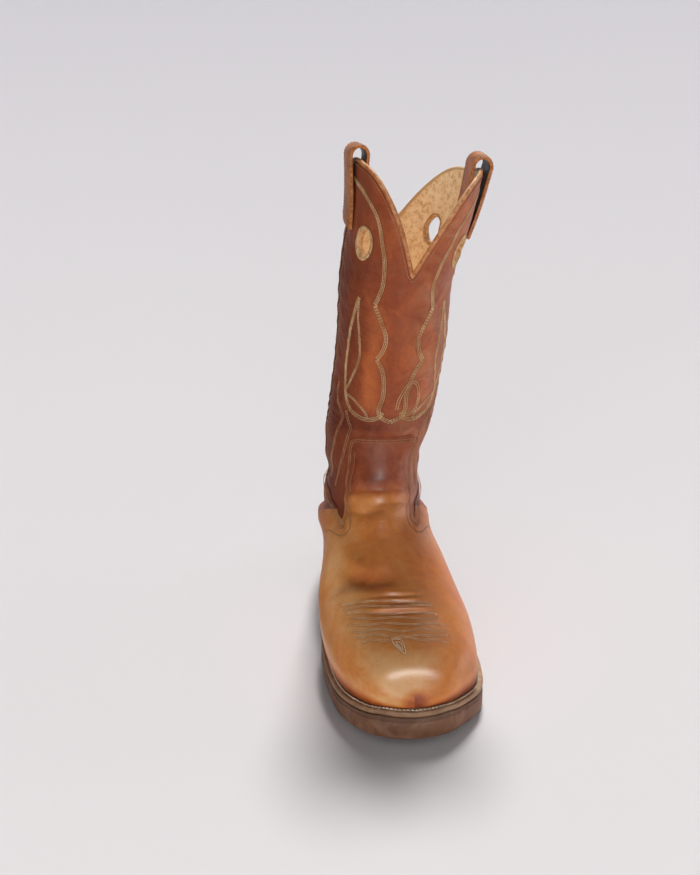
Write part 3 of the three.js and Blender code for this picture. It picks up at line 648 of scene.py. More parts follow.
def resample(points, normals, pitch):
    """Evenly spaced points of a run, with its directions and normals there."""
    length = np.concatenate([[0], np.cumsum(np.linalg.norm(np.diff(points, axis=0), axis=1))])
    count = max(2, int(length[-1] / pitch))
    at = (np.arange(count) + 0.5) / count * length[-1]

    def read(rows, ahead=0.0):
        return np.stack([np.interp(at + ahead, length, rows[:, k]) for k in range(3)], -1)
    return read(points), unit(read(points, 0.4) - read(points, -0.4)), unit(read(normals))


def stitches(name, rows, look, length=STITCH_LENGTH, pitch=STITCH_PITCH, radius=THREAD_R):
    """One mesh of thread: a short half-sunk bead for each stitch of each row of (points, normals)."""
    sections = [(-0.5, -0.5, 0.35), (-0.36, 0.35, 0.95), (0, 0.6, 1.0), (0.36, 0.35, 0.95), (0.5, -0.5, 0.35)]
    sides = 6
    turn = np.linspace(0, 2 * math.pi, sides, endpoint=False)
    local = np.array([[along * length, math.cos(q) * wide * radius,
                       (lift * 0.8 + math.sin(q) * wide) * radius]
                      for along, lift, wide in sections for q in turn])
    middle, ahead, up = (np.concatenate(x) for x in zip(*(resample(p, n, pitch) for p, n in rows)))
    across = unit(np.cross(up, ahead))
    skew = RANDOM.normal(0, 0.06, (len(middle), 1))
    ahead, across = unit(ahead + across * skew), unit(across - ahead * skew)
    basis = np.stack([ahead, across, up], 1)
    points = middle[:, None] + local @ basis
    tube = grid_faces(len(sections), sides, wrap=True)
    quads = (tube[None] + (np.arange(len(middle)) * len(local))[:, None, None]).reshape(-1, 4)
    return make_object(name, shift(points.reshape(-1, 3)), quads, look, sharp=80)


def mirrored(path):
    return path * [-1, 1]


def to_back(path):
    """The same path in the back panel."""
    a, v = path.T
    return np.stack([np.where(a >= 0, 1 - a, -1 - a), v], -1)


# Rows of the decoration as (a, v) pairs, on the quarter of the shaft between its front and a side seam.
EDGE_ROW = [(0.46, 0.66), (0.40, 0.68), (0.33, 0.74), (0.25, 0.90), (0.205, 1.08), (0.175, 1.3), (0.15, 1.47),
            (0.136, 1.64), (0.130, 1.80), (0.137, 1.95), (0.158, 2.14)]
FLAME_IN = [(0.158, 2.14), (0.125, 2.30), (0.098, 2.44), (0.083, 2.56), (0.090, 2.72), (0.122, 2.90)]
FLAME_LOW = [(0.122, 2.90), (0.088, 3.05), (0.068, 3.25), (0.058, 3.52), (0.066, 3.80), (0.05, 3.98),
             (0.0, 4.12)]
FLAME_SIDE = [(0.26, 2.12), (0.258, 2.40), (0.243, 2.66), (0.232, 2.90), (0.242, 3.10), (0.272, 3.36),
              (0.30, 3.60)]
FLAME_OUT = [(0.26, 2.12), (0.295, 2.40), (0.325, 2.70), (0.337, 3.0), (0.332, 3.3), (0.308, 3.58),
             (0.278, 3.78), (0.23, 3.96), (0.17, 4.07), (0.11, 4.10), (0.06, 4.0), (0.045, 3.86)]
INNER_LOOP = [(0.285, 3.66), (0.235, 3.70), (0.18, 3.80), (0.135, 3.94), (0.12, 4.08)]
TAIL_OUT = [(0.385, 3.55), (0.365, 3.85), (0.32, 4.05), (0.285, 4.25), (0.33, 5.1), (0.385, 6.1),
            (0.405, 7.2)]
TAIL_IN = [(0.27, 4.0), (0.235, 4.3), (0.212, 4.6), (0.24, 5.5), (0.29, 6.6), (0.325, 7.7)]
CURL = [(0.02, 3.80), (0.025, 3.55), (0.06, 3.30), (0.105, 3.30), (0.14, 3.55), (0.13, 3.85), (0.085, 3.95),
        (0.045, 3.86)]
MEDALLION_MIDDLE = (-0.06, 18.2)
MEDALLION = [(-0.075, 17.95), (-0.1, 17.98), (-0.1, 18.08), (-0.088, 18.22), (-0.045, 18.5), (-0.032, 18.48),
             (-0.03, 18.25), (-0.035, 18.08), (-0.05, 17.99), (-0.075, 17.95)]


def decoration():
    """Rows of cream stitching on one quarter of the shaft, each a path and its sideways offsets."""
    triple, double = (-1.15, 0, 1.15), (-0.65, 0.65)
    rows = [(EDGE_ROW, triple), (FLAME_IN, triple), (FLAME_LOW, triple), (FLAME_SIDE, double),
            (FLAME_OUT, triple), (INNER_LOOP, double)]
    return [(smooth_path(points), offsets) for points, offsets in rows]


def bends(obj, slot, *nodes):
    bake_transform(obj)
    return dress(obj, slot, *nodes)


def rides(obj, body, slot, *nodes):
    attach(obj, body)
    return dress(obj, slot, *nodes)


def dress(obj, slot, *nodes):
    if nodes:
        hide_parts(*nodes)
    return obj


# ---- colour of the leather over the boot, with painted shade and sheen in places: 0 dark red-brown, 1 pale tan ----
def shaft_tone(a, v):
    a = wrapped(a)
    t = np.abs(a)
    # Paler towards the outer side and darker towards the inner side: painted sheen and painted shade.
    tone = 0.38 + 0.07 * smoothstep(a, 0, 0.3) - 0.06 * smoothstep(-a, 0.12, 0.4)
    patch = smoothstep(v, 2.0, 2.6) * (1 - smoothstep(v, 3.7, 4.1))
    tone = tone + 0.17 * bell(t, 0.15, 0.07) * patch * (1 - 0.5 * smoothstep(a, -0.1, 0.1))
    # Paler near the top edge, and a paler stripe down the front ridge that is a painted sheen.
    tone = tone + 0.05 * bell(v, 0.9, 0.6) + 0.05 * bell(a, 0.02, 0.05)
    return tone - 0.06 * bell(v, 4.35, 0.4) - 0.05 * bell(v, 4.4, 0.3) * bell(a, -0.1, 0.2)


def foot_tone(a, v):
    t = np.abs(a)
    ankle = 0.36 + 0.05 * smoothstep(a, 0.05, 0.2) - 0.06 * bell(v, 7.2, 0.7) * bell(a, 0.05, 0.15)
    vamp = 0.76 - 0.08 * smoothstep(a, 0.05, 0.25)
    vamp += 0.1 * smoothstep(-a, 0.0, 0.3) + 0.05 * smoothstep(v, 15, 17)
    # The first three darken the hollow above the toes, the furrow down the instep and the deepest toe crease:
    # painted shade in those recesses. The fourth is a paler patch on the inner side.
    for share, at_v, tall, at_a, wide in ((-0.15, 14.9, 0.8, -0.14, 0.11), (-0.06, 12, 1.6, -0.06, 0.06),
                                          (-0.08, 16.75, 0.4, 0.02, 0.2), (0.1, 14.6, 1.2, -0.45, 0.2)):
        vamp += share * bell(v, at_v, tall) * bell(a, at_a, wide)
    tone = ankle + (vamp - ankle) * smoothstep(v, 7.2, 8.9 + 2.5 * smoothstep(t, 0.1, 0.4))
    tone += 0.17 * smoothstep(v, 17.9, 18.9) * bell(a, -0.15, 0.55)
    tone -= 0.06 * bell(v, 18.2, 0.4) * bell(a, -0.02, 0.2)
    # Darker along the foot line and at the toe tip: painted shade above the welt, deepest at the tip.
    low = np.maximum(smoothstep(t, 0.8, 0.98), 0.9 * smoothstep(v, 20.1, 20.9))
    tone -= 0.42 * low + 0.1 * bell(a, -0.62, 0.15)
    tone -= 0.06 * bell(a, 0.5, 0.2) * smoothstep(v, 17, 18.5)
    return tone - 0.1 * smoothstep(t, 0.35, 0.6) * (1 - smoothstep(v, 11, 14))


def shaft_wear_and_sheen(a, v):
    """A little scuffed all round; over the outer side the pale scuffing is much stronger, which is a painted
    sheen.
    """
    a = wrapped(a)
    return 0.2 + 0.75 * smoothstep(a, -0.02, 0.15) + 0 * v


def foot_wear_and_sheen(a, v):
    """The ankle crease is rubbed the most; the stronger paling over the outer side is a painted sheen."""
    toe = smoothstep(v, 17.5, 19) ** 2
    return 0.3 - 0.1 * toe + 0.55 * smoothstep(a, -0.02, 0.25) + 0.3 * bell(v, 9.5, 1.5)


# ---- upper leather ----
LEATHER, LINING_T, GAP = 1.8, 1.2, 0.3
OVER = -(LEATHER + GAP)
TIP = LAST - 0.02
HOLE_W, HOLE_H, HOLE_ROUND = 14, 19, 150
HOLES = {"front_outer": (0.29, 280), "front_inner": (-0.29, 280), "back_outer": (0.765, 269),
         "back_inner": (-0.765, 269)}


HOLE_SLOPE_STEP = 5


class Hole:
    """An oval finger hole, in round position and station."""

    def __init__(self, a, height):
        self.a = a
        self.v = float(level_at(a, height))
        self.rate = float(level_at(a, height - HOLE_SLOPE_STEP) - self.v) / HOLE_SLOPE_STEP

    def reach(self, a, v, grow):
        across = (a - self.a) * HOLE_ROUND / (HOLE_W / 2 + grow)
        return np.hypot(across, (v - self.v) / self.rate / (HOLE_H / 2 + grow))

    def ring(self, turn, grow):
        return (self.a + (HOLE_W / 2 + grow) / HOLE_ROUND * np.cos(turn),
                self.v + self.rate * (HOLE_H / 2 + grow) * np.sin(turn))

    def cut(self, a, v, grow):
        """Moves the grid's points next to the hole onto its rim; returns the faces that stay."""
        r = self.reach(a, v, grow)
        inside = r < 1
        gone = inside[:-1, :-1] | inside[1:, :-1] | inside[:-1, 1:] | inside[1:, 1:]
        touched = np.zeros(a.shape, bool)
        for di in (0, 1):
            for dj in (0, 1):
                touched[di:di + gone.shape[0], dj:dj + gone.shape[1]] |= gone
        touched &= ~inside
        a[touched] = self.a + (a[touched] - self.a) / r[touched]
        v[touched] = self.v + (v[touched] - self.v) / r[touched]
        return ~gone


HOLE_LIST = {name: Hole(*spot) for name, spot in HOLES.items()}
SETTLE = 4
STITCH_PULL, STITCH_REACH = 0.3, 0.7
EDGE_PARING = 1.5           # how much the foot's leather is pared down along its upper edge
GROOVE_DROP = 2.3           # distance of a pressed groove from the edge it follows


def rows_between(top, bottom, count, dense=0.0, level=(1.0, 6.2)):
    """Stations from the curve top to the curve bottom; in between the rows soon run level."""
    s = steps(0, 1, count, dense)[:, None]
    straight = level[0] + (level[1] - level[0]) * s
    return straight + (top[None] - level[0]) * (1 - s) ** SETTLE + (bottom[None] - level[1]) * s ** SETTLE


def tree_of(rows):
    points = np.concatenate([p for p, _ in rows])
    tree = KDTree(len(points))
    for i, p in enumerate(points):
        tree.insert(p, i)
    tree.balance()
    return tree


def distances(tree, points):
    return np.array([tree.find(p)[2] for p in points.reshape(-1, 3)]).reshape(points.shape[:-1])


def smoothed(grid, rounds):
    """A grid of points without its short waves: each round shrinks and then swells, so it keeps its size."""
    grid = grid.copy()
    for step in (0.5, -0.52) * rounds:
        middle = (grid[:-2, 1:-1] + grid[2:, 1:-1] + grid[1:-1, :-2] + grid[1:-1, 2:]) / 4
        grid[1:-1, 1:-1] += step * (middle - grid[1:-1, 1:-1])
    return grid


def leather_sheet(name, a, v, outer, inner, tone, wear, rows, keep=None, rounds=0):
    """A leather panel between two depths, sunk a little along its stitch rows."""
    face = smoothed(place(a, v, outer), rounds)
    sunk = np.zeros(a.shape)
    if rows:
        sunk = np.exp(-(distances(tree_of(rows), face) / STITCH_REACH) ** 2)
    face = face + inward(a, v) * (STITCH_PULL * sunk)[..., None]
    # The attribute worn holds real scuffing and, over the outer sides, a painted sheen.
    marks = {"tone": tone, "worn": wear, "stitch": sunk, "crinkle": crinkle_share(a, v)}
    return shell(name, face, smoothed(place(a, v, inner), rounds), UPPER, keep, attributes=marks)


def top_thin(a, v):
    """1 at the shaft's top edge, where leather and lining are pared down for the binding, 0 below it."""
    return 1 - smoothstep(v - shaft_top(a[0])[None], 0, 0.1)


def edge_thin(a, v, path):
    """1 along the upper edge of the foot's leather, which is pared down, 0 a few millimetres inside it."""
    face = place(a, v, np.full(a.shape, OVER))
    return 1 - smoothstep(distances(tree_of([on_leather(path, OVER)]), face), 0, 14)


def tuck(a, v):
    return 0.1 * smoothstep(v, vamp_top(a) - 0.5, vamp_top(a) + 0.1)


def shaft_panel(name, columns, rows, tail):
    a = np.broadcast_to(columns[None], (int(330 * FINE), len(columns))).copy()
    v = rows_between(shaft_top(columns), vamp_top(columns) + tail, 330)
    keep = np.ones((a.shape[0] - 1, a.shape[1] - 1), bool)
    for hole in HOLE_LIST.values():
        keep &= hole.cut(a, v, 1.0)
    lift = tuck(a, v)
    return leather_sheet(name, a, v, lift + 0.6 * top_thin(a, v), lift + LEATHER, shaft_tone(a, v),
                         shaft_wear_and_sheen(a, v), rows, keep)


def shaft_rows(turned):
    """Stitch rows on the front panel, or turned to the back one, with the names of their threads."""
    bright, dull = [], []
    for path, offsets in decoration():
        for side in (path, mirrored(path)):
            line = to_back(side) if turned else side
            bright += [on_leather(line, 0.0, offset) for offset in offsets]
    tails = [TAIL_OUT, TAIL_IN] if not turned else []
    for points in tails:
        for side in (smooth_path(points), mirrored(smooth_path(points))):
            dull += [on_leather(side, 0.0, offset) for offset in (-0.9, 0.9)]
    if not turned:
        bright += [on_leather(smooth_path(CURL), 0.0, offset) for offset in (-0.8, 0.8)]
    return bright, dull


def finished_edges(columns):
    """Grooves pressed into a shaft panel under the top binding and round its finger holes."""
    edge = np.stack([columns, level_at(columns, scallop_height(columns) - GROOVE_DROP)], -1)
    grooves = [on_leather(edge, 0.0)]
    turn = np.linspace(0, 2 * math.pi, 60)
    for hole in HOLE_LIST.values():
        if columns.min() < hole.a < columns.max() or columns.min() < hole.a + 2 < columns.max():
            grooves.append(on_leather(np.stack(hole.ring(turn, GROOVE_DROP), -1), 0.0))
    return grooves


SEAM = 0.4905
front_columns = np.linspace(-SEAM, SEAM, int(230 * FINE))
back_columns = np.concatenate([np.linspace(SEAM + 0.019, 1, int(115 * FINE)),
                               np.linspace(-1, -SEAM - 0.019, int(115 * FINE))[1:]])
back_columns = np.where(back_columns < 0, back_columns + 2, back_columns)
front_bright, front_dull = shaft_rows(False)
back_bright, _ = shaft_rows(True)
front_grooves = front_bright + front_dull + finished_edges(front_columns)
bends(shaft_panel("shaft_front_leather", front_columns, front_grooves, 0.6), "shaft_leather", "shaft_front")
bends(shaft_panel("shaft_back_leather", back_columns, back_bright + finished_edges(back_columns), 0.6),
      "shaft_leather", "shaft_back")
bends(stitches("shaft_front_stitching", front_bright, CREAM), "shaft_leather")
bends(stitches("shaft_tail_stitching", front_dull, TAN_THREAD), "shaft_leather")
bends(stitches("shaft_back_stitching", back_bright, CREAM), "shaft_leather")

# Vamp and tongue in one piece, to the seam at each side and the toe tip.
vamp_columns = np.concatenate([np.linspace(0, 0.18, int(50 * FINE), endpoint=False),
                               np.linspace(0.18, 0.32, int(70 * FINE), endpoint=False),
                               np.linspace(0.32, 1, int(90 * FINE))])
vamp_columns = np.concatenate([-vamp_columns[:0:-1], vamp_columns])
SEAM_TOP_V = float(vamp_top(SEAM_TOP_A))


def seam_v(t):
    return SEAM_TOP_V + (SEAM_FOOT_V - SEAM_TOP_V) * (t - SEAM_TOP_A) / (1 - SEAM_TOP_A)


t = np.abs(vamp_columns)
vamp_start = np.where(t < SEAM_TOP_A, vamp_top(vamp_columns), seam_v(t) + 0.005)
vamp_v = rows_between(vamp_start, np.full(len(t), TIP), 430, 0.0, (12.2, TIP))
vamp_a = np.broadcast_to(vamp_columns[None], vamp_v.shape)


def toe_rows():
    """The wavy double rows over the toes, crossing near the middle, and the small leaf in front of them."""
    rows = []
    for i, start in enumerate((16.38, 16.6, 16.84, 17.08, 17.34, 17.6, 17.82, 18.02)):
        low, high = -0.37 + 0.012 * ((i * 5) % 4), 0.19 + 0.018 * i
        across = np.linspace(low, high, 70)
        swing = 0.035 * np.sin(across * (15 + 2 * i) + i * 1.7)
        pinch = {5: 0.05, 6: 0.13, 7: -0.1}.get(i, 0) * bell(across, -0.02, 0.08)
        v = start + swing + pinch
        v -= 1.3 * np.minimum(across - 0.08, 0) ** 2 + 0.6 * np.maximum(across - 0.12, 0) ** 2
        rows += [on_leather(np.stack([across, v], -1), OVER - 0.12, offset) for offset in (-0.55, 0.55)]
    leaves = []
    for grow in (1.0, 0.5):
        leaf = (np.array(MEDALLION) - MEDALLION_MIDDLE) * grow + MEDALLION_MIDDLE
        leaves.append(on_leather(smooth_path(leaf), OVER - 0.12))
    return rows, leaves


def edge_rows():
    """Two rows of stitching along the vamp's upper edge, round tongue and notches, and down the seams."""
    rows = []
    around = [(0, TONGUE_TOP + 0.22), (0.1, TONGUE_TOP + 0.22), (0.15, TONGUE_TOP + 0.24), (0.172, 5.25),
              (0.18, 6.0), (0.185, 7.2), (0.19, 8.6), (0.2, 10.4), (0.212, 11.5), (0.235, 12.1),
              (0.262, 12.25), (0.29, 11.9), (0.318, 10.9), (0.345, 10.2)]
    for sign in (1, -1):
        path = smooth_path(around) * [sign, 1]
        rows += [on_leather(path, OVER, offset) for offset in (0, 1.6 * sign)]
        wide = [(0.15, 5.6), (0.152, 6.4), (0.16, 7.4), (0.178, 8.9), (0.172, 11.0), (0.19, 12.2),
                (0.27, 12.75), (0.4, 12.6), (0.5, 12.75)]
        rows.append(on_leather(smooth_path(wide) * [sign, 1], OVER))
        down = np.linspace(0.44, 0.985, 60)
        rows += [on_leather(np.stack([down * sign, seam_v(down) + gap], -1), OVER) for gap in (0.1, 0.18)]
    return rows


(TOE_ROWS, TOE_LEAF), EDGE_ROWS = toe_rows(), edge_rows()
edge_a = np.concatenate([np.linspace(0, 0.18, 40), np.linspace(0.185, 0.4, 300), np.linspace(0.41, 1, 60)])
edge_a = np.concatenate([-edge_a[:0:-1], edge_a])
FOOT_EDGE = np.stack([edge_a, vamp_top(edge_a)], -1)
vamp_face = OVER + EDGE_PARING * edge_thin(vamp_a, vamp_v, FOOT_EDGE)
vamp = leather_sheet("vamp_leather", vamp_a, vamp_v, vamp_face, -GAP + 0 * vamp_a, foot_tone(vamp_a, vamp_v),
                     foot_wear_and_sheen(vamp_a, vamp_v), TOE_ROWS + TOE_LEAF + EDGE_ROWS)
bends(vamp, "vamp_leather", "vamp", "vamp_tongue")
bends(stitches("toe_stitching", TOE_ROWS, TOE_THREAD, 1.35, 1.6, 0.2), "vamp_leather")
bends(stitches("toe_leaf_stitching", TOE_LEAF, LEAF_THREAD, 1.35, 1.5, 0.32), "vamp_leather")
bends(stitches("vamp_edge_stitching", EDGE_ROWS, TAN_THREAD, 1.5, 1.85, 0.25), "vamp_leather")


def fan(share, down):
    """Round position and station of the heel counter, fanned from its top edge to the foot line."""
    a0 = SEAM_TOP_A + (1 - SEAM_TOP_A) * share
    v0 = vamp_top(a0)
    v1 = (SEAM_FOOT_V - 0.005) * (1 - share) + FIRST_FOOT * share
    return a0 + (1 - a0) * down, v0 + (v1 - v0) * down


def counter():
    """The heel counter's leather, from seam to seam round the back, with two rows under its top edge."""
    share = np.concatenate([np.linspace(0, 1, int(80 * FINE)), np.linspace(1, 0, int(80 * FINE))[1:]])
    sign = np.where(np.arange(len(share)) < len(share) // 2 + 1, 1, -1)
    a, v = fan(share[None], steps(0, 1, 110)[:, None])
    a = a * sign
    rows = []
    for down in (0.035, 0.06):
        row_a, row_v = fan(share, down)
        path = np.stack([row_a * sign, row_v], -1)
        rows += [on_leather(half, OVER) for half in np.split(path, [len(share) // 2 + 1])]
    outer = OVER + EDGE_PARING * edge_thin(a, v, FOOT_EDGE)
    tone = 0.4 + 0.05 * ripple(a, v, 9, 5, 6, 1)
    obj = leather_sheet("counter_leather", a, v, outer, -GAP + 0 * a, tone, 0.4 + 0 * a, rows,
                        rounds=int(260 * FINE**2))
    bends(obj, "vamp_leather", "heel_counter")
    bends(stitches("counter_stitching", rows, TAN_THREAD, 1.5, 1.85, 0.25), "vamp_leather")


counter()


# ---- lining, one sheet from the top edge to the toe ----
LINING_FROM = LEATHER + GAP
LINING_TO = LINING_FROM + LINING_T


def lining():
    columns = np.linspace(-1, 1, int(200 * FINE) + 1)
    v = rows_between(shaft_top(columns), np.full(len(columns), TIP), 300, 0.0, (1.0, TIP))
    a = np.broadcast_to(columns[None], v.shape).copy()
    keep = np.ones((a.shape[0] - 1, a.shape[1] - 1), bool)
    for hole in HOLE_LIST.values():
        keep &= hole.cut(a, v, 1.0)
    deep = LINING_FROM + 0.5 * smoothstep(v, 4.5, 6) + 0.6 * smoothstep(v, 7.5, 9.5)
    thin = np.minimum(LINING_T, 0.3 + 0.9 * (1 - smoothstep(v, 20, TIP)))
    outer, inner = place(a, v, deep, 0.6), place(a, v, deep + thin - 0.6 * top_thin(a, v), 0.6)
    obj = shell("lining_leather", outer, inner, LINING, keep)
    bends(obj, "lining_leather", "shaft_lining_front", "shaft_lining_back", "vamp_lining", "heel_lining")


lining()


# ---- top binding, finger hole edgings and side pipings ----
BAND_DROP = 2.9             # the binding's stitch row below the top edge
CORD_R = 1.45               # radius of the side seams' piping
STRAP_LEG = 38


def frame_along(points, normals):
    """Tangents and edge directions along a closed run of points."""
    ahead = unit(np.roll(points, -1, 0) - np.roll(points, 1, 0))
    return ahead, unit(np.cross(normals, ahead))


def top_edge(count, drop=0.0):
    a = np.linspace(-1, 1, count, endpoint=False)
    v = level_at(a, scallop_height(a) - drop)
    return a, v


def top_binding():
    """A folded strip over the top edge: a round bead with a flat leg down each side."""
    count = 2 * int(260 * FINE)
    a, v = top_edge(count)
    normals = -inward(a, v)
    rim = place(a, v, np.full(count, LINING_TO / 2))
    ahead, up = frame_along(rim, normals)
    up = np.where(up[:, 2:] < 0, -up, up)
    half = LINING_TO / 2 - 0.6
    section = [(half + 0.05, -1.2), (half + 0.35, -1.0), (half + 0.5, -0.5)]
    section += [((half + 0.42) * math.cos(q), 0.1 + 1.25 * math.sin(q))
                for q in np.linspace(0.1, math.pi - 0.1, 11)]
    section += [(-half - 0.4, -0.5), (-half - 0.3, -1.0), (-half - 0.05, -1.2), (-half - 0.05, 0.1),
                (half + 0.05, 0.1)]
    inner = np.array([smoothstep(-out, 0.2, 0.6) for out, _ in section])
    wave = 1 + 0.05 * ripple(a, 0 * a, 12, 6, 60, 1)
    rings = np.stack([rim + (normals * out + up * lift) * wave[:, None] for out, lift in section], 1)
    obj = loft_closed("top_binding", rings, BINDING, {"inner": np.tile(inner, count)}, sharp=50)
    rides(obj, "shaft", "edge_leather", "top_binding_front", "top_binding_back")
    row = rim + normals * (half + 0.55) - up * BAND_DROP
    row = np.concatenate([row, row[:1]])
    rides(stitches("top_binding_stitching", [(row, np.concatenate([normals, normals[:1]]))], TAN_THREAD,
                   1.6, 2.0, 0.26), "shaft", "edge_leather")


def hole_edging(name, hole):
    """A leather strip rolled through a finger hole, with a low rounded lip on both faces of the shaft."""
    turn = np.linspace(0, 2 * math.pi, int(96 * FINE), endpoint=False)
    section = [(0.0, 1.0), (0.0, 2.4), (0.5, 3.6), (1.6, 4.0), (2.4, 3.9), (2.6, 3.45), (1.2, 3.2),
               (1.0, 2.0), (1.2, -0.05), (2.8, -0.15), (2.7, -0.6), (1.9, -0.85), (0.7, -0.75), (0.1, 0.0)]
    rings = []
    for grow, depth in section:
        a, v = hole.ring(turn, grow - 0.4)
        rings.append(place(a, v, np.full(len(turn), depth)))
    obj = loft_closed(name + "_roll", np.stack(rings, 1), EDGING, sharp=60)
    rides(obj, "shaft", "edge_leather", name)


def side_piping(name, sign):
    """The rounded cord of leather in a side seam, with a stitch row on each side of it."""
    top = float(level_at(sign * 0.5, PEAK_Z - STRAP_LEG - 1))
    bottom = float(foot_top(0.5)) - 0.1
    v = np.linspace(top, bottom, int(150 * FINE))
    a = np.full(len(v), sign * 0.5)
    normals = -inward(a, v)
    core = place(a, v, np.full(len(v), 0.5))
    across = unit(np.cross(normals, unit(np.gradient(core, axis=0))))
    turn = np.linspace(0, 2 * math.pi, 12, endpoint=False)
    rings = (core[:, None] + across[:, None] * (CORD_R * np.cos(turn))[None, :, None]
             + normals[:, None] * (CORD_R * np.sin(turn))[None, :, None])
    obj = loft_closed(name + "_cord", rings, PIPING, cap=True, sharp=70)
    bends(obj, "shaft_leather", name)
    path = np.stack([a, v], -1)
    rows = [on_leather(path, 0.0, offset) for offset in (-3.4, 3.4)]
    bends(stitches(name + "_stitching", rows, TAN_THREAD, 1.9, 2.5, 0.34), "shaft_leather")


top_binding()
for spot, hole in HOLE_LIST.items():
    hole_edging("finger_hole_edging_" + spot, hole)
for side, sign in (("outer", 1), ("inner", -1)):
    side_piping("side_piping_" + side, sign)

# ---- pull straps ----
STRAP_W = 30
STRAP_ROUND = 158
STRAP_T = 2.4
STRAP_SLOPE = 0.06
STRAP_TAPER = 0.3           # share of its width that the strap loses towards its crown
CROWN_RISE = 8
SHAFT_END_Z = 346           # the highest place at which the shaft's surface is still read


def strap_path(count):
    """The strap's inner line over the top edge: depth and height, from its outer foot to its inner foot."""
    middle = LINING_TO / 2
    foot, shoulder = PEAK_Z - STRAP_LEG, RIM_Z
    crown = CROWN_RISE - STRAP_T
    reach = middle + GAP + (shoulder - foot) * STRAP_SLOPE
    z = np.linspace(foot, shoulder, count, endpoint=False)
    turn = np.linspace(0, math.pi, count, endpoint=False)
    depth = np.concatenate([middle - reach + (shoulder - z) * STRAP_SLOPE, middle - reach * np.cos(turn),
                            middle + reach - (shoulder - np.append(z, shoulder)[::-1]) * STRAP_SLOPE])
    height = np.concatenate([z, shoulder + crown * np.sin(turn), np.append(z, shoulder)[::-1]])
    return np.stack([depth, height], -1)


def strap_point(a, line, out):
    """A point on the strap: out millimetres outside its inner line."""
    side = np.gradient(line, axis=0)
    side /= np.linalg.norm(side, axis=1, keepdims=True)
    spot = line + np.stack([-side[:, 1], side[:, 0]], -1) * out
    height = np.minimum(spot[:, 1], SHAFT_END_Z)
    v = level_at(a, height)
    return surface(a, v) + inward(a, v) * spot[:, :1]


def pull_strap(name, body, sign, twist, lift):
    """A strap whose back edge leans inwards by twist and whose front edge is raised by lift at the crown."""
    line = strap_path(int(34 * FINE) + 8)
    half = STRAP_W / 2
    rise = smoothstep(line[:, 1], PEAK_Z - STRAP_LEG, RIM_Z + 3)

    def at(across, out):
        """The run of points at one place of the strap's section; the strap narrows towards its crown."""
        across = across * (1 - STRAP_TAPER * rise)
        points = strap_point(sign * (0.5 + across / STRAP_ROUND), line, out)
        points[:, 0] -= sign * twist * rise * across / half
        points[:, 2] -= lift * rise**2 * across / half
        return points

    section = [(-half, 0.35), (-half, STRAP_T - 0.35), (-half + 0.45, STRAP_T)]
    section += [(x, STRAP_T + 0.25 * math.cos(x / half * 1.3))
                for x in np.linspace(-half + 1.5, half - 1.5, 9)]
    section += [(half - 0.45, STRAP_T), (half, STRAP_T - 0.35), (half, 0.35), (half - 0.45, 0)]
    section += [(x, 0) for x in np.linspace(half - 1.5, -half + 1.5, 9)] + [(-half + 0.45, 0)]
    rings = np.stack([at(across, out) for across, out in section], 1)
    across = np.array([x for x, _ in section])
    out = np.array([o for _, o in section])
    edge = (np.abs(across) >= half - 0.5) & (out > 0.1) & (out < STRAP_T + 0.1)
    marks = {"edge": np.tile(edge, len(line)), "back": np.tile(out <= 0.05, len(line))}
    obj = loft_closed(name + "_band", rings, STRAP, marks, cap=True, sharp=50)
    rides(obj, body, "strap_leather", name)
    rows = []
    for x in (-half + 2.3, half - 2.3):
        top = at(x, STRAP_T + 0.05)
        rows.append((top, unit(top - at(x, 0))))
    for end in (3, -4):
        xs = np.linspace(-half + 2.3, half - 2.3, 24)
        top = np.stack([at(x, STRAP_T + 0.15)[end] for x in xs])
        low = np.stack([at(x, 0)[end] for x in xs])
        rows.append((top, unit(top - low)))
    rides(stitches(name + "_stitching", rows, TAN_THREAD, 1.8, 2.3, 0.3), body, "strap_leather")


pull_strap("pull_strap_outer", "strap_outer", 1, 1.5, 2.2)
pull_strap("pull_strap_inner", "strap_inner", -1, -0.5, 3.5)

# ---- sole ----
SOLE_GAP = 0.6
WELT_T = 3.7
MIDSOLE_T = 2.7
HEEL_OUTSOLE_T = 5
BREAST_Y = 14
LIFT_T = 6.2
LIFT_COUNT = 3
HEEL_TAPER, BREAST_SLOPE = 0.07, 0.06
TOE_SPRING = 4
TREAD_BACK, TREAD_FRONT = -104, -150
WELT_TOP = SOLE_GAP
WELT_BOTTOM = WELT_TOP + WELT_T
MIDSOLE_TOP = WELT_BOTTOM + SOLE_GAP
OUTSOLE_TOP = MIDSOLE_TOP + MIDSOLE_T + SOLE_GAP
HEEL_TOP = SEAT_Z - OUTSOLE_TOP - HEEL_OUTSOLE_T

FOOT_LINE = surface(1, np.linspace(FIRST_FOOT, LAST, 300))
SOLE_V = np.concatenate([np.linspace(9, 10.5, int(44 * FINE), endpoint=False),
                         np.linspace(10.5, 19, int(110 * FINE), endpoint=False),
                         np.linspace(19, 20.98, int(70 * FINE))])


def base_z(y):
    order = np.argsort(FOOT_LINE[:, 1])
    return np.interp(y, FOOT_LINE[order, 1], FOOT_LINE[order, 2])


def welt_out(y):
    return 5 + 2.4 * smoothstep(-y, 130, 205) - 1.2 * smoothstep(y, -60, 0)


def sole_side(sign, out):
    """The foot line from the heel's back to the toe tip, moved outwards in plan by out(y)."""
    here = surface(sign, SOLE_V)
    ahead = surface(sign, np.minimum(SOLE_V + 0.04, LAST - 0.001))
    run = ahead - surface(sign, np.maximum(SOLE_V - 0.04, FIRST_FOOT))
    run[:, 2] = 0
    run[0], run[-1] = (sign, 0, 0), (-sign, 0, 0)
    run = unit(run)
    reach = out(here[:, 1]) if callable(out) else out
    moved = here.copy()
    moved[:, 0] -= sign * run[:, 1] * reach
    moved[:, 1] += sign * run[:, 0] * reach
    return moved


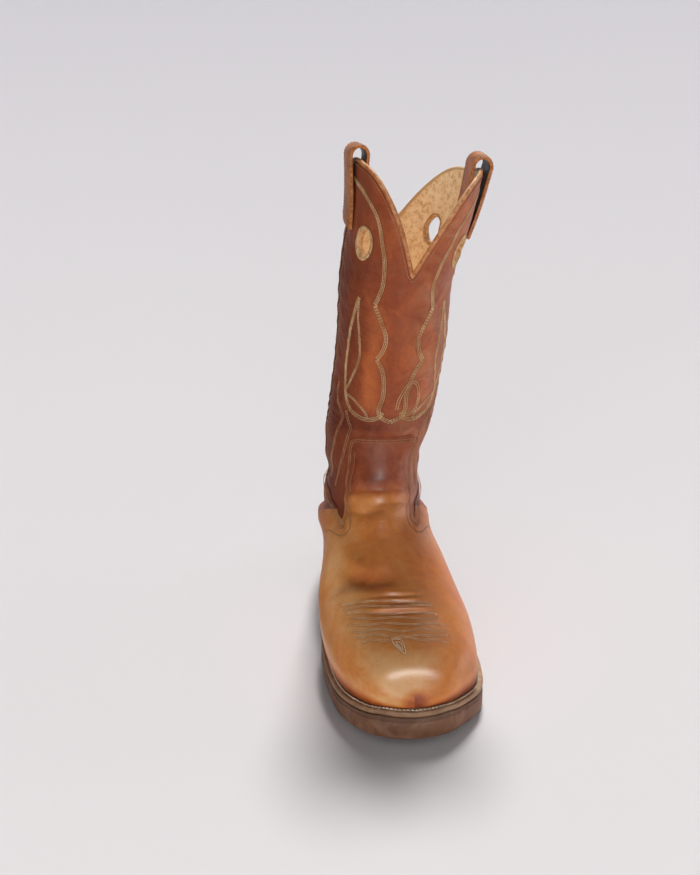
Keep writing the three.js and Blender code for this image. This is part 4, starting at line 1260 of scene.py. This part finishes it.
def spaced(points, count):
    """The same run of points, evenly spaced."""
    length = np.concatenate([[0], np.cumsum(np.linalg.norm(np.diff(points, axis=0), axis=1))])
    at = np.linspace(0, length[-1], count)
    return np.stack([np.interp(at, length, points[:, k]) for k in range(3)], -1)


def sole_ring(out, height, breast=None):
    """A closed ring of the sole's outline at height(y); with a breast, only the part behind it."""
    sides = [sole_side(1, out), sole_side(-1, out)]
    if breast is not None:
        half = []
        for side in sides:
            end = [np.interp(breast, side[::-1, 1], side[::-1, 0]), breast, 0]
            half.append(spaced(np.concatenate([side[side[:, 1] > breast], [end]]), int(90 * FINE)))
        front = np.linspace(half[0][-1], half[1][-1], int(40 * FINE))
        ring = np.concatenate([half[0], front[1:-1], half[1][:0:-1]])
    else:
        ring = np.concatenate([sides[0], sides[1][-2:0:-1]])
    ring[:, 2] = height(ring[:, 1])
    return ring


def under(drop):
    return lambda y: base_z(y) - drop


def shrunk(by):
    return lambda y: welt_out(y) - by


def tread_z(y):
    toe = TOE_SPRING * (np.maximum(0, TREAD_FRONT - y) / 65) ** 1.7
    t = np.clip((y - TREAD_BACK) / (BREAST_Y - 6 - TREAD_BACK), 0, 1)
    return toe + HEEL_TOP * (0.25 * t + 0.75 * smoothstep(t, 0, 1))


def lifted(by):
    return lambda y: tread_z(y) + by


def band(name, corners, look, body="foot", slot="welt_leather"):
    """A ring that runs all round the sole; each corner of its section is an outset and a height."""
    rings = np.stack([sole_ring(out, height) for out, height in corners], 1)
    return rides(loft_closed(name + "_ring", rings, look, sharp=40), body, slot, name)


def plate(name, rings, look, slot):
    """A slab through a stack of rings, closed top and bottom."""
    return rides(loft_closed(name + "_slab", np.stack(rings), look, cap=True, sharp=35), "foot", slot, name)


welt_section = [(-2.6, under(WELT_TOP)), (-1.2, under(WELT_TOP)), (0.2, under(WELT_TOP - 1.1)),
                (1.1, under(WELT_TOP - 1.0)), (1.9, under(WELT_TOP - 0.1)), (shrunk(1.6), under(WELT_TOP)),
                (shrunk(0.6), under(WELT_TOP + 0.15)), (shrunk(0.1), under(WELT_TOP + 0.7)),
                (shrunk(-0.1), under(WELT_TOP + 1.9)), (shrunk(0.1), under(WELT_BOTTOM - 0.6)),
                (shrunk(0.7), under(WELT_BOTTOM)), (-2.6, under(WELT_BOTTOM))]
band("welt", welt_section, WELT)
midsole_edge = [(1.4, under(MIDSOLE_TOP)), (0.4, under(MIDSOLE_TOP + 0.6)), (0.2, under(OUTSOLE_TOP - 0.1)),
                (1.4, under(OUTSOLE_TOP - 0.05))]
outsole_edge = [(1.2, under(OUTSOLE_TOP)), (0.3, under(OUTSOLE_TOP + 0.25)), (0, under(OUTSOLE_TOP + 0.9)),
                (0, lifted(2.8)), (0.25, lifted(1.5)), (1.1, lifted(0.5)), (2.8, tread_z)]
plate("midsole", [sole_ring(shrunk(by), height) for by, height in midsole_edge], RECESS, "welt_leather")
plate("outsole", [sole_ring(shrunk(by), height) for by, height in outsole_edge], RUBBER, "sole_rubber")


def welt_stitching():
    """Pale lockstitches in a groove on the welt's upper face, from heel to toe and back."""
    ring = sole_ring(shrunk(3.0), under(WELT_TOP - 0.05))
    ring = np.concatenate([ring, ring[:1]])
    up = np.tile([0.0, 0, 1], (len(ring), 1))
    rides(stitches("welt_stitching", [(ring, up)], PALE_THREAD, 2.5, 2.75, 0.6), "foot", "welt_leather")


welt_stitching()


def heel_slab(name, top, thick, look, slot, bulge=0.35):
    """A horseshoe slab of the heel, its edge slightly crowned between the glue lines."""
    def ring(z, pull):
        return sole_ring(shrunk(0.6 + (HEEL_TOP - z) * HEEL_TAPER + pull),
                         lambda y: np.full(np.shape(y), z), BREAST_Y + (HEEL_TOP - z) * BREAST_SLOPE)
    levels = [(top, bulge), (top - 0.35, 0.05), (top - thick / 2, -0.05), (top - thick + 0.35, 0.05),
              (top - thick, bulge)]
    return plate(name, [ring(z, pull) for z, pull in levels], look, slot)


for i in range(LIFT_COUNT):
    heel_slab(f"heel_lift_{i + 1}", HEEL_TOP - GAP - i * (LIFT_T + GAP), LIFT_T, STACK, "stacked_leather")
TOP_LIFT_T = HEEL_TOP - GAP - LIFT_COUNT * (LIFT_T + GAP)
heel_slab("top_lift", TOP_LIFT_T, TOP_LIFT_T, RUBBER, "sole_rubber", 0.6)

# ---- CAD parts that stay, hidden inside or seen from above or below ----
KEPT = ((BOARD, ("toe_box", "counter_stiffener", "insole_rib", "insole")), (SOCK, ("sock_liner",)),
        (CORK, ("cork_filler",)), (STEEL, ("shank",)), (BRASS, tuple(f"heel_nail_{i + 1}" for i in range(5))))
for look, nodes in KEPT:
    for node in nodes:
        mesh = bpy.data.objects[node].data
        mesh.materials.clear()
        mesh.materials.append(look)

# ---- camera, light and floor ----
YAW, PITCH = math.radians(-5), math.radians(23.6)
CAMERA_LEFT, CAMERA_BACK, CAMERA_UP = 18.5, 1400, 736.7
CAMERA_AT = shift([-CAMERA_LEFT * math.cos(YAW) + CAMERA_BACK * math.sin(YAW),
                   -CAMERA_LEFT * math.sin(YAW) - CAMERA_BACK * math.cos(YAW), CAMERA_UP])
camera_data = bpy.data.cameras.new("camera")
camera_data.lens = 87.52
camera_data.sensor_width = 36
camera_data.sensor_fit = "AUTO"
camera = bpy.data.objects.new("camera", camera_data)
camera.location = CAMERA_AT
camera.rotation_euler = (math.pi / 2 - PITCH, 0, YAW)
bpy.context.scene.collection.objects.link(camera)
bpy.context.scene.camera = camera


def soft_sun(name, azimuth, elevation, spread, strength, color, only_gloss=False):
    """A broad, even light; azimuth 0 comes from behind the camera, 90 from the right of the picture."""
    data = bpy.data.lights.new(name, "SUN")
    data.angle = math.radians(spread)
    data.energy = strength
    data.color = color
    lamp = bpy.data.objects.new(name, data)
    a, e = math.radians(azimuth), math.radians(elevation)
    lamp.location = (math.sin(a) * math.cos(e), -math.cos(a) * math.cos(e), math.sin(e))
    lamp.rotation_euler = (-Vector(lamp.location)).to_track_quat("-Z", "Y").to_euler()
    lamp.visible_diffuse = not only_gloss
    bpy.context.scene.collection.objects.link(lamp)


soft_sun("overhead", 170, 53, 12, 3.4, (1, 0.985, 0.97))
soft_sun("window", 104, -6, 45, 1.7, (1, 0.95, 0.96))
soft_sun("front_fill", -14, 2, 50, 1.9, (1, 0.985, 0.96))
soft_sun("toe_sparkle", 9, 51, 6, 2.4, (1, 0.98, 0.96), only_gloss=True)

world = bpy.data.worlds.new("studio")
world.use_nodes = True
nodes, links = world.node_tree.nodes, world.node_tree.links
direction = nodes.new("ShaderNodeSeparateXYZ")
links.new(nodes.new("ShaderNodeTexCoord").outputs["Generated"], direction.inputs[0])
fade = nodes.new("ShaderNodeValToRGB")
links.new(direction.outputs["Z"], fade.inputs["Fac"])
for element, height, shade in zip(fade.color_ramp.elements, (0.1, 0.4), (0.4, 0.12)):
    element.position = height
    element.color = (shade * 0.98, shade * 0.98, shade * 1.03, 1)
links.new(fade.outputs["Color"], nodes["Background"].inputs["Color"])
bpy.context.scene.world = world
bpy.context.scene.view_settings.view_transform = "Standard"


def floor():
    """A seamless pale sheet, a little brighter near the camera, that runs out into a far backdrop."""
    g = Graph("pale_floor")
    place = g.nodes.new("ShaderNodeSeparateXYZ")
    g.put(place.inputs[0], g.place)
    cloud = g.spread(g.noise(0.8, 2), 0.3, 0.7, -0.03, 0.03)
    depth = g.spread(place.outputs["Y"], -0.5, 2.2)
    color = g.ramp(g.math("ADD", depth, cloud), [(0, "dedcdd"), (1, "c8c6cc")])
    look = g.finish(color, 0.8, g.bump(g.noise(300, 4), 0.03, 0.0005), specular=0.1)
    size = 60.0
    corners = [(-size, -size), (size, -size), (size, size), (-size, size)]
    make_object("floor", [(x, y, -0.0002) for x, y in corners], [(0, 1, 2, 3)], look)


def backdrop():
    """A far wall round the floor that only the camera sees."""
    g = Graph("backdrop_paper")
    place = g.nodes.new("ShaderNodeSeparateXYZ")
    g.put(place.inputs[0], g.place)
    cloud = g.spread(g.noise(0.3, 1), 0.3, 0.7, -0.03, 0.03)
    height = g.spread(place.outputs["Z"], 0, 2.5)
    color = g.ramp(g.math("ADD", height, cloud), [(0, "dedcdf"), (1, "cfcdd2")])
    g.put(g.shader.inputs["Emission Color"], color)
    g.shader.inputs["Emission Strength"].default_value = 1.0
    look = g.finish([0.0, 0.0, 0.0, 1], 1.0, g.bump(g.noise(2), 0.01, 0.001), specular=0.0)
    radius, foot, head = 12.0, -1.0, 8.0
    turn = np.linspace(0, 2 * math.pi, 64, endpoint=False)
    wall = [(radius * math.cos(q), radius * math.sin(q), z) for z in (foot, head) for q in turn]
    ring = make_object("backdrop", wall, grid_faces(2, 64, wrap=True).tolist(), look)
    for kind in ("diffuse", "glossy", "shadow", "transmission"):
        setattr(ring, "visible_" + kind, False)


def dark_flag():
    """A board that only reflections see, where the other boot of a pair would stand."""
    g = Graph("flag_cloth")
    color = g.ramp(g.noise(9), [(0, "2c150d"), (1, "552a1a")])
    look = g.finish(color, 0.9, g.bump(g.noise(300), 0.1, 0.001))
    x, front, back, top = -0.088, -0.2, 0.17, 0.37
    corners = [(x, front, 0.0), (x, back, 0.0), (x, back, top), (x, front, top)]
    flag = make_object("dark_flag", corners, [(0, 1, 2, 3)], look)
    for kind in ("camera", "diffuse", "shadow"):
        setattr(flag, "visible_" + kind, False)


floor()
backdrop()
dark_flag()
